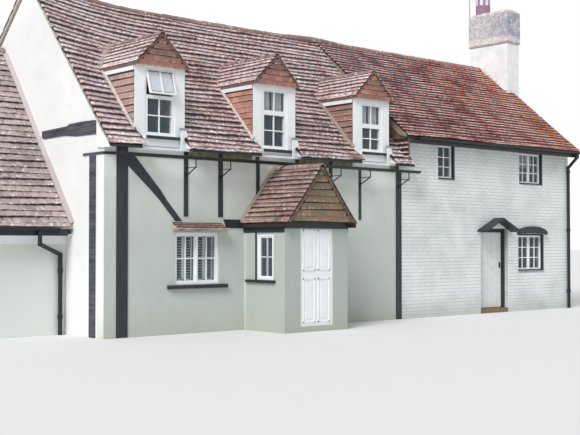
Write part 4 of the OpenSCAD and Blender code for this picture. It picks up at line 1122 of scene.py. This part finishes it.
# A low arched hood of black boards keeps rain off the right ground window.
turns = [math.pi * k / 12 for k in range(13)]
outline = [(11.79 - 0.56 * math.cos(a), 1.825 + 0.17 * math.sin(a)) for a in turns]
outline += [(11.79 - 0.53 * math.cos(a), 1.805 + 0.03 * math.sin(a)) for a in reversed(turns)]
settle(cut_board("arched_window_hood", outline, -0.10, 0.0, black_oak))

# Black tilting boards carry the lowest tiles of the main roof between the dormers.
ends = [-0.04]
for middle, eaves in dormers:
    ends += [middle - dormer_half - 0.005, middle + dormer_half - 0.065]
ends.append(7.40)
trim("tilting_boards", [((left, -0.268, 3.205), (right, -0.236, 3.246))
                        for left, right in zip(ends[0::2], ends[1::2])], *timber)

# The wing's eaves have a deep black board behind the gutter over a white frieze board.
trim("wing_eaves_board", [((-3.70, 0.998, 1.725), (-0.10, 1.020, 1.838))], *timber)
trim("wing_frieze", [((-3.60, 1.258, 1.585), (-0.001, 1.281, 1.735)),
                     ((-3.60, 1.020, 1.735), (-0.001, 1.281, 1.750))], *joinery)

# HOOD OVER THE FRONT WINDOW
# A small lean-to keeps rain off the front window. Its tiles are the same brown ones as the
# porch's, two courses over an eaves course.
marks = set_out(slope((0, -0.2, 1.851), 0, math.atan(0.102 / 0.2), 0.004), [-0.02, 0.07, 0.15],
                tile_width, lambda row: [(1.390, 2.476)], 0.04)
lay_blocks("window_hood_tiles", marks, porch_tiles, (laid_width, 0.13, 0.012),
           0.003, 0.02, -0.04, 14)
paint(porch_tiles, "window_hood")

# RAINWATER GOODS
# Half round gutters, brackets and pipes are cast iron under black gloss paint. Sockets and
# holderbats clip the downpipes to the walls.
black_gloss = mottled("black_gloss_iron", 0.42, "#0e1115", "#23282f", 120, 4, 0.5, 0.8)
paint(black_gloss, "gutters", "right_fascias", "downpipes", "gutter_brackets", "door_ironwork",
      "door_pins")


def pipe_collar(place):
    """Ring around a downpipe."""
    mesh = bmesh.new()
    bmesh.ops.create_cone(mesh, cap_ends=True, segments=20, radius1=0.047, radius2=0.047,
                          depth=0.075, matrix=Matrix.Translation(place))
    return model("collar", mesh, black_gloss)


collars = [(13.26, -0.060, z) for z in (0.42, 1.92, 3.36)] + [(-0.123, 1.22, z)
                                                             for z in (0.32, 1.12)]
fuse("pipe_collars", [pipe_collar(place) for place in collars])

# COTTAGE DOOR
# A ledged and boarded door: five upright boards on the outside, painted, hung on strap
# hinges from inside, with an iron latch. Leaf and boards swing together.
door_paint = mottled("door_paint", 0.45, "#dfe3e2", "#c9cfcd", 120, 4, 0.45, 0.8)
paint(door_paint, "cottage_door")
leaf_left, leaf_right = 9.983, 10.827
leaf_foot, leaf_top = 0.112, 1.847
board_pitch = (leaf_right - leaf_left) / 5
boards = [about(leaf_left + board_pitch * (k + 0.5), board_pitch / 2 - 0.003, 0.147, 0.157,
                leaf_foot + 0.004, leaf_top - 0.004) for k in range(5)]
boards += [((leaf_left + 0.53, 0.198, z - 0.05), (leaf_right - 0.03, 0.218, z + 0.05))
           for z in (0.30, 0.98, 1.66)]
trim("door_boards", boards, door_paint, "white_joinery", "door_leaf")
trim("door_latch", [((10.745, 0.135, 1.02), (10.775, 0.149, 1.16)),
                    ((10.752, 0.118, 1.04), (10.768, 0.137, 1.14))], black_gloss, "black_iron",
     "door_leaf")

# CHIMNEY
# The shaft is brick under limewash and ends in an oversailing cap of rough cast, topped by
# mortar flaunching around one red pot. A thin aerial mast is strapped behind it.
capped = towards("Z", 6.80, 6.84)


def ragged_height(tree, place):
    """Pattern that is the height, made uneven by up to 160 mm."""
    return calc(tree, "ADD", calc(tree, "MULTIPLY", noise(110, 4, 4.0)(tree, place), 0.16),
                axis("Z")(tree, place))


def pebbles(tree, place):
    """Pattern of the small stones in rough cast."""
    return add(tree, "ShaderNodeTexVoronoi", {"feature": "SMOOTH_F1"}, Vector=place,
               Scale=per_mm(22)).outputs[0]


# Rough cast with chips and pale crumbs low down, painted bluish grey towards the front as painted
# shade on that face, and painted dark at its lower edge as painted shade under the oversailing
# course.
rough_cast = layered("#b0a8aa", (
    ("#e0dade", 1, patches(70, 6, 0.35, 0.72, 3.0)),
    ("#8b8484", 0.45, patches(350, 4, 0.45, 0.75, 6.0)),
    # Painted shade: bluish grey towards the front face.
    ("#868ea1", 0.85, both(patches(190, 5, 0.35, 0.65, 4.0), towards("Y", 0.5, -0.55))),
    ("#f1edee", 0.8, patches(45, 3, 0.60, 0.66, 3.0)),
    ("#eadcd9", 0.75, both(spread(ragged_height, 7.11, 7.07),
                           patches(55, 3, 0.62, 0.50, 4.0))),
    # Painted shade: dark along the foot of the oversailing cap.
    ("#6f6068", 0.6, spread(ragged_height, 6.955, 6.93))))
shaft_wash = finish("whitewashed_shaft", 0.9, "#f3f3f3", (
    ("#dfe0e2", 1, patches(300, 4, 0.4, 0.75)), (rough_cast, 1, capped)),
    ((both(pebbles, capped), -9), (noise(60, 4), 5)))
paint(shaft_wash, "chimney_stack")
pot_clay = fired_clay("chimney_pot_clay", "a97f92 a97f92", "#7d6a8c", "#b9aaa2", -0.1, pale=0.0)
paint(pot_clay, "chimney_pot")

# The flaunching slopes in from the stack's edges, which are read in the part's frame.
stack_low, stack_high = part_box("chimney_stack")
rims = []
for rise, inset in ((0.0, 0.0), (0.045, 0.05), (0.09, 0.11)):
    left, right = stack_low.x + inset, stack_high.x - inset
    front, back = stack_low.y + inset, stack_high.y - inset
    rims.append([(x, y, stack_high.z + rise) for x, y in (
        (left, front), (right, front), (right, back), (left, back))])
flaunching = solid("flaunching", rims, new_mortar)
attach(flaunching, "house")

# Tall slots pierce the pot near its top; pale boxes in them are painted light that stands for
# daylight from the pot's far side.
painted_daylight = finish("painted_daylight_slots", 0.9, "#d9dce4")
pot_middle = Matrix.Translation((13.443, 2.722, 0))
fuse("pot_slots", [boxes("slot", [((0.180, -0.042, 7.96), (0.192, 0.042, 8.19))], painted_daylight,
                         pot_middle @ Matrix.Rotation(k * math.pi / 4 + 0.46, 4, "Z"))
                   for k in range(8)])
aluminium = finish("dull_aluminium", 0.45, "#a9acae", Metallic=1.0)
paint(aluminium, "aerial_mast")

# CAMERA, FLOOR AND LIGHT
# Eye height view from the left, with a pale studio floor and soft light from the left.
camera = link("camera", bpy.data.cameras.new("camera"))
camera.location = corner + Vector((-9.55529, -15.58971, 1.6))
camera.rotation_euler = (math.radians(91.3526), 0, math.radians(-41.2926))
camera.data.lens = 67.03
camera.data.sensor_width = 36
camera.data.sensor_fit = "HORIZONTAL"
bpy.context.scene.camera = camera

bpy.ops.mesh.primitive_plane_add(size=400, location=(0, 0, -0.002))
floor = bpy.context.object
floor.name = "studio_floor"
floor.data.materials.append(finish("pale_floor", 0.9, "#e4e4e2"))

sun = link("soft_key", bpy.data.lights.new("soft_key", "SUN"))
sun.data.energy = 2.5
sun.data.angle = math.radians(25)
sun.rotation_euler = Vector((0.80, 0.36, -0.70)).to_track_quat("-Z", "Y").to_euler()

# Glass and the camera see a white sky, while a dimmer one lights the house.
world = bpy.data.worlds.new("studio")
bpy.context.scene.world = world
world.use_nodes = True
tree = world.node_tree
tree.nodes.clear()
rays = add(tree, "ShaderNodeLightPath").outputs
seen = calc(tree, "MAXIMUM", rays["Is Camera Ray"], rays["Is Glossy Ray"])
seen = calc(tree, "MAXIMUM", seen, rays["Is Transmission Ray"])
glow = add(tree, "ShaderNodeBackground", Color=linear("#eef2f6"), Strength=0.62)
white = add(tree, "ShaderNodeBackground", Color=(1, 1, 1, 1), Strength=1.0)
sky = add(tree, "ShaderNodeMixShader", i0=seen, i1=glow.outputs[0], i2=white.outputs[0])
add(tree, "ShaderNodeOutputWorld", Surface=sky.outputs[0])
bpy.context.scene.view_settings.view_transform = "Standard"
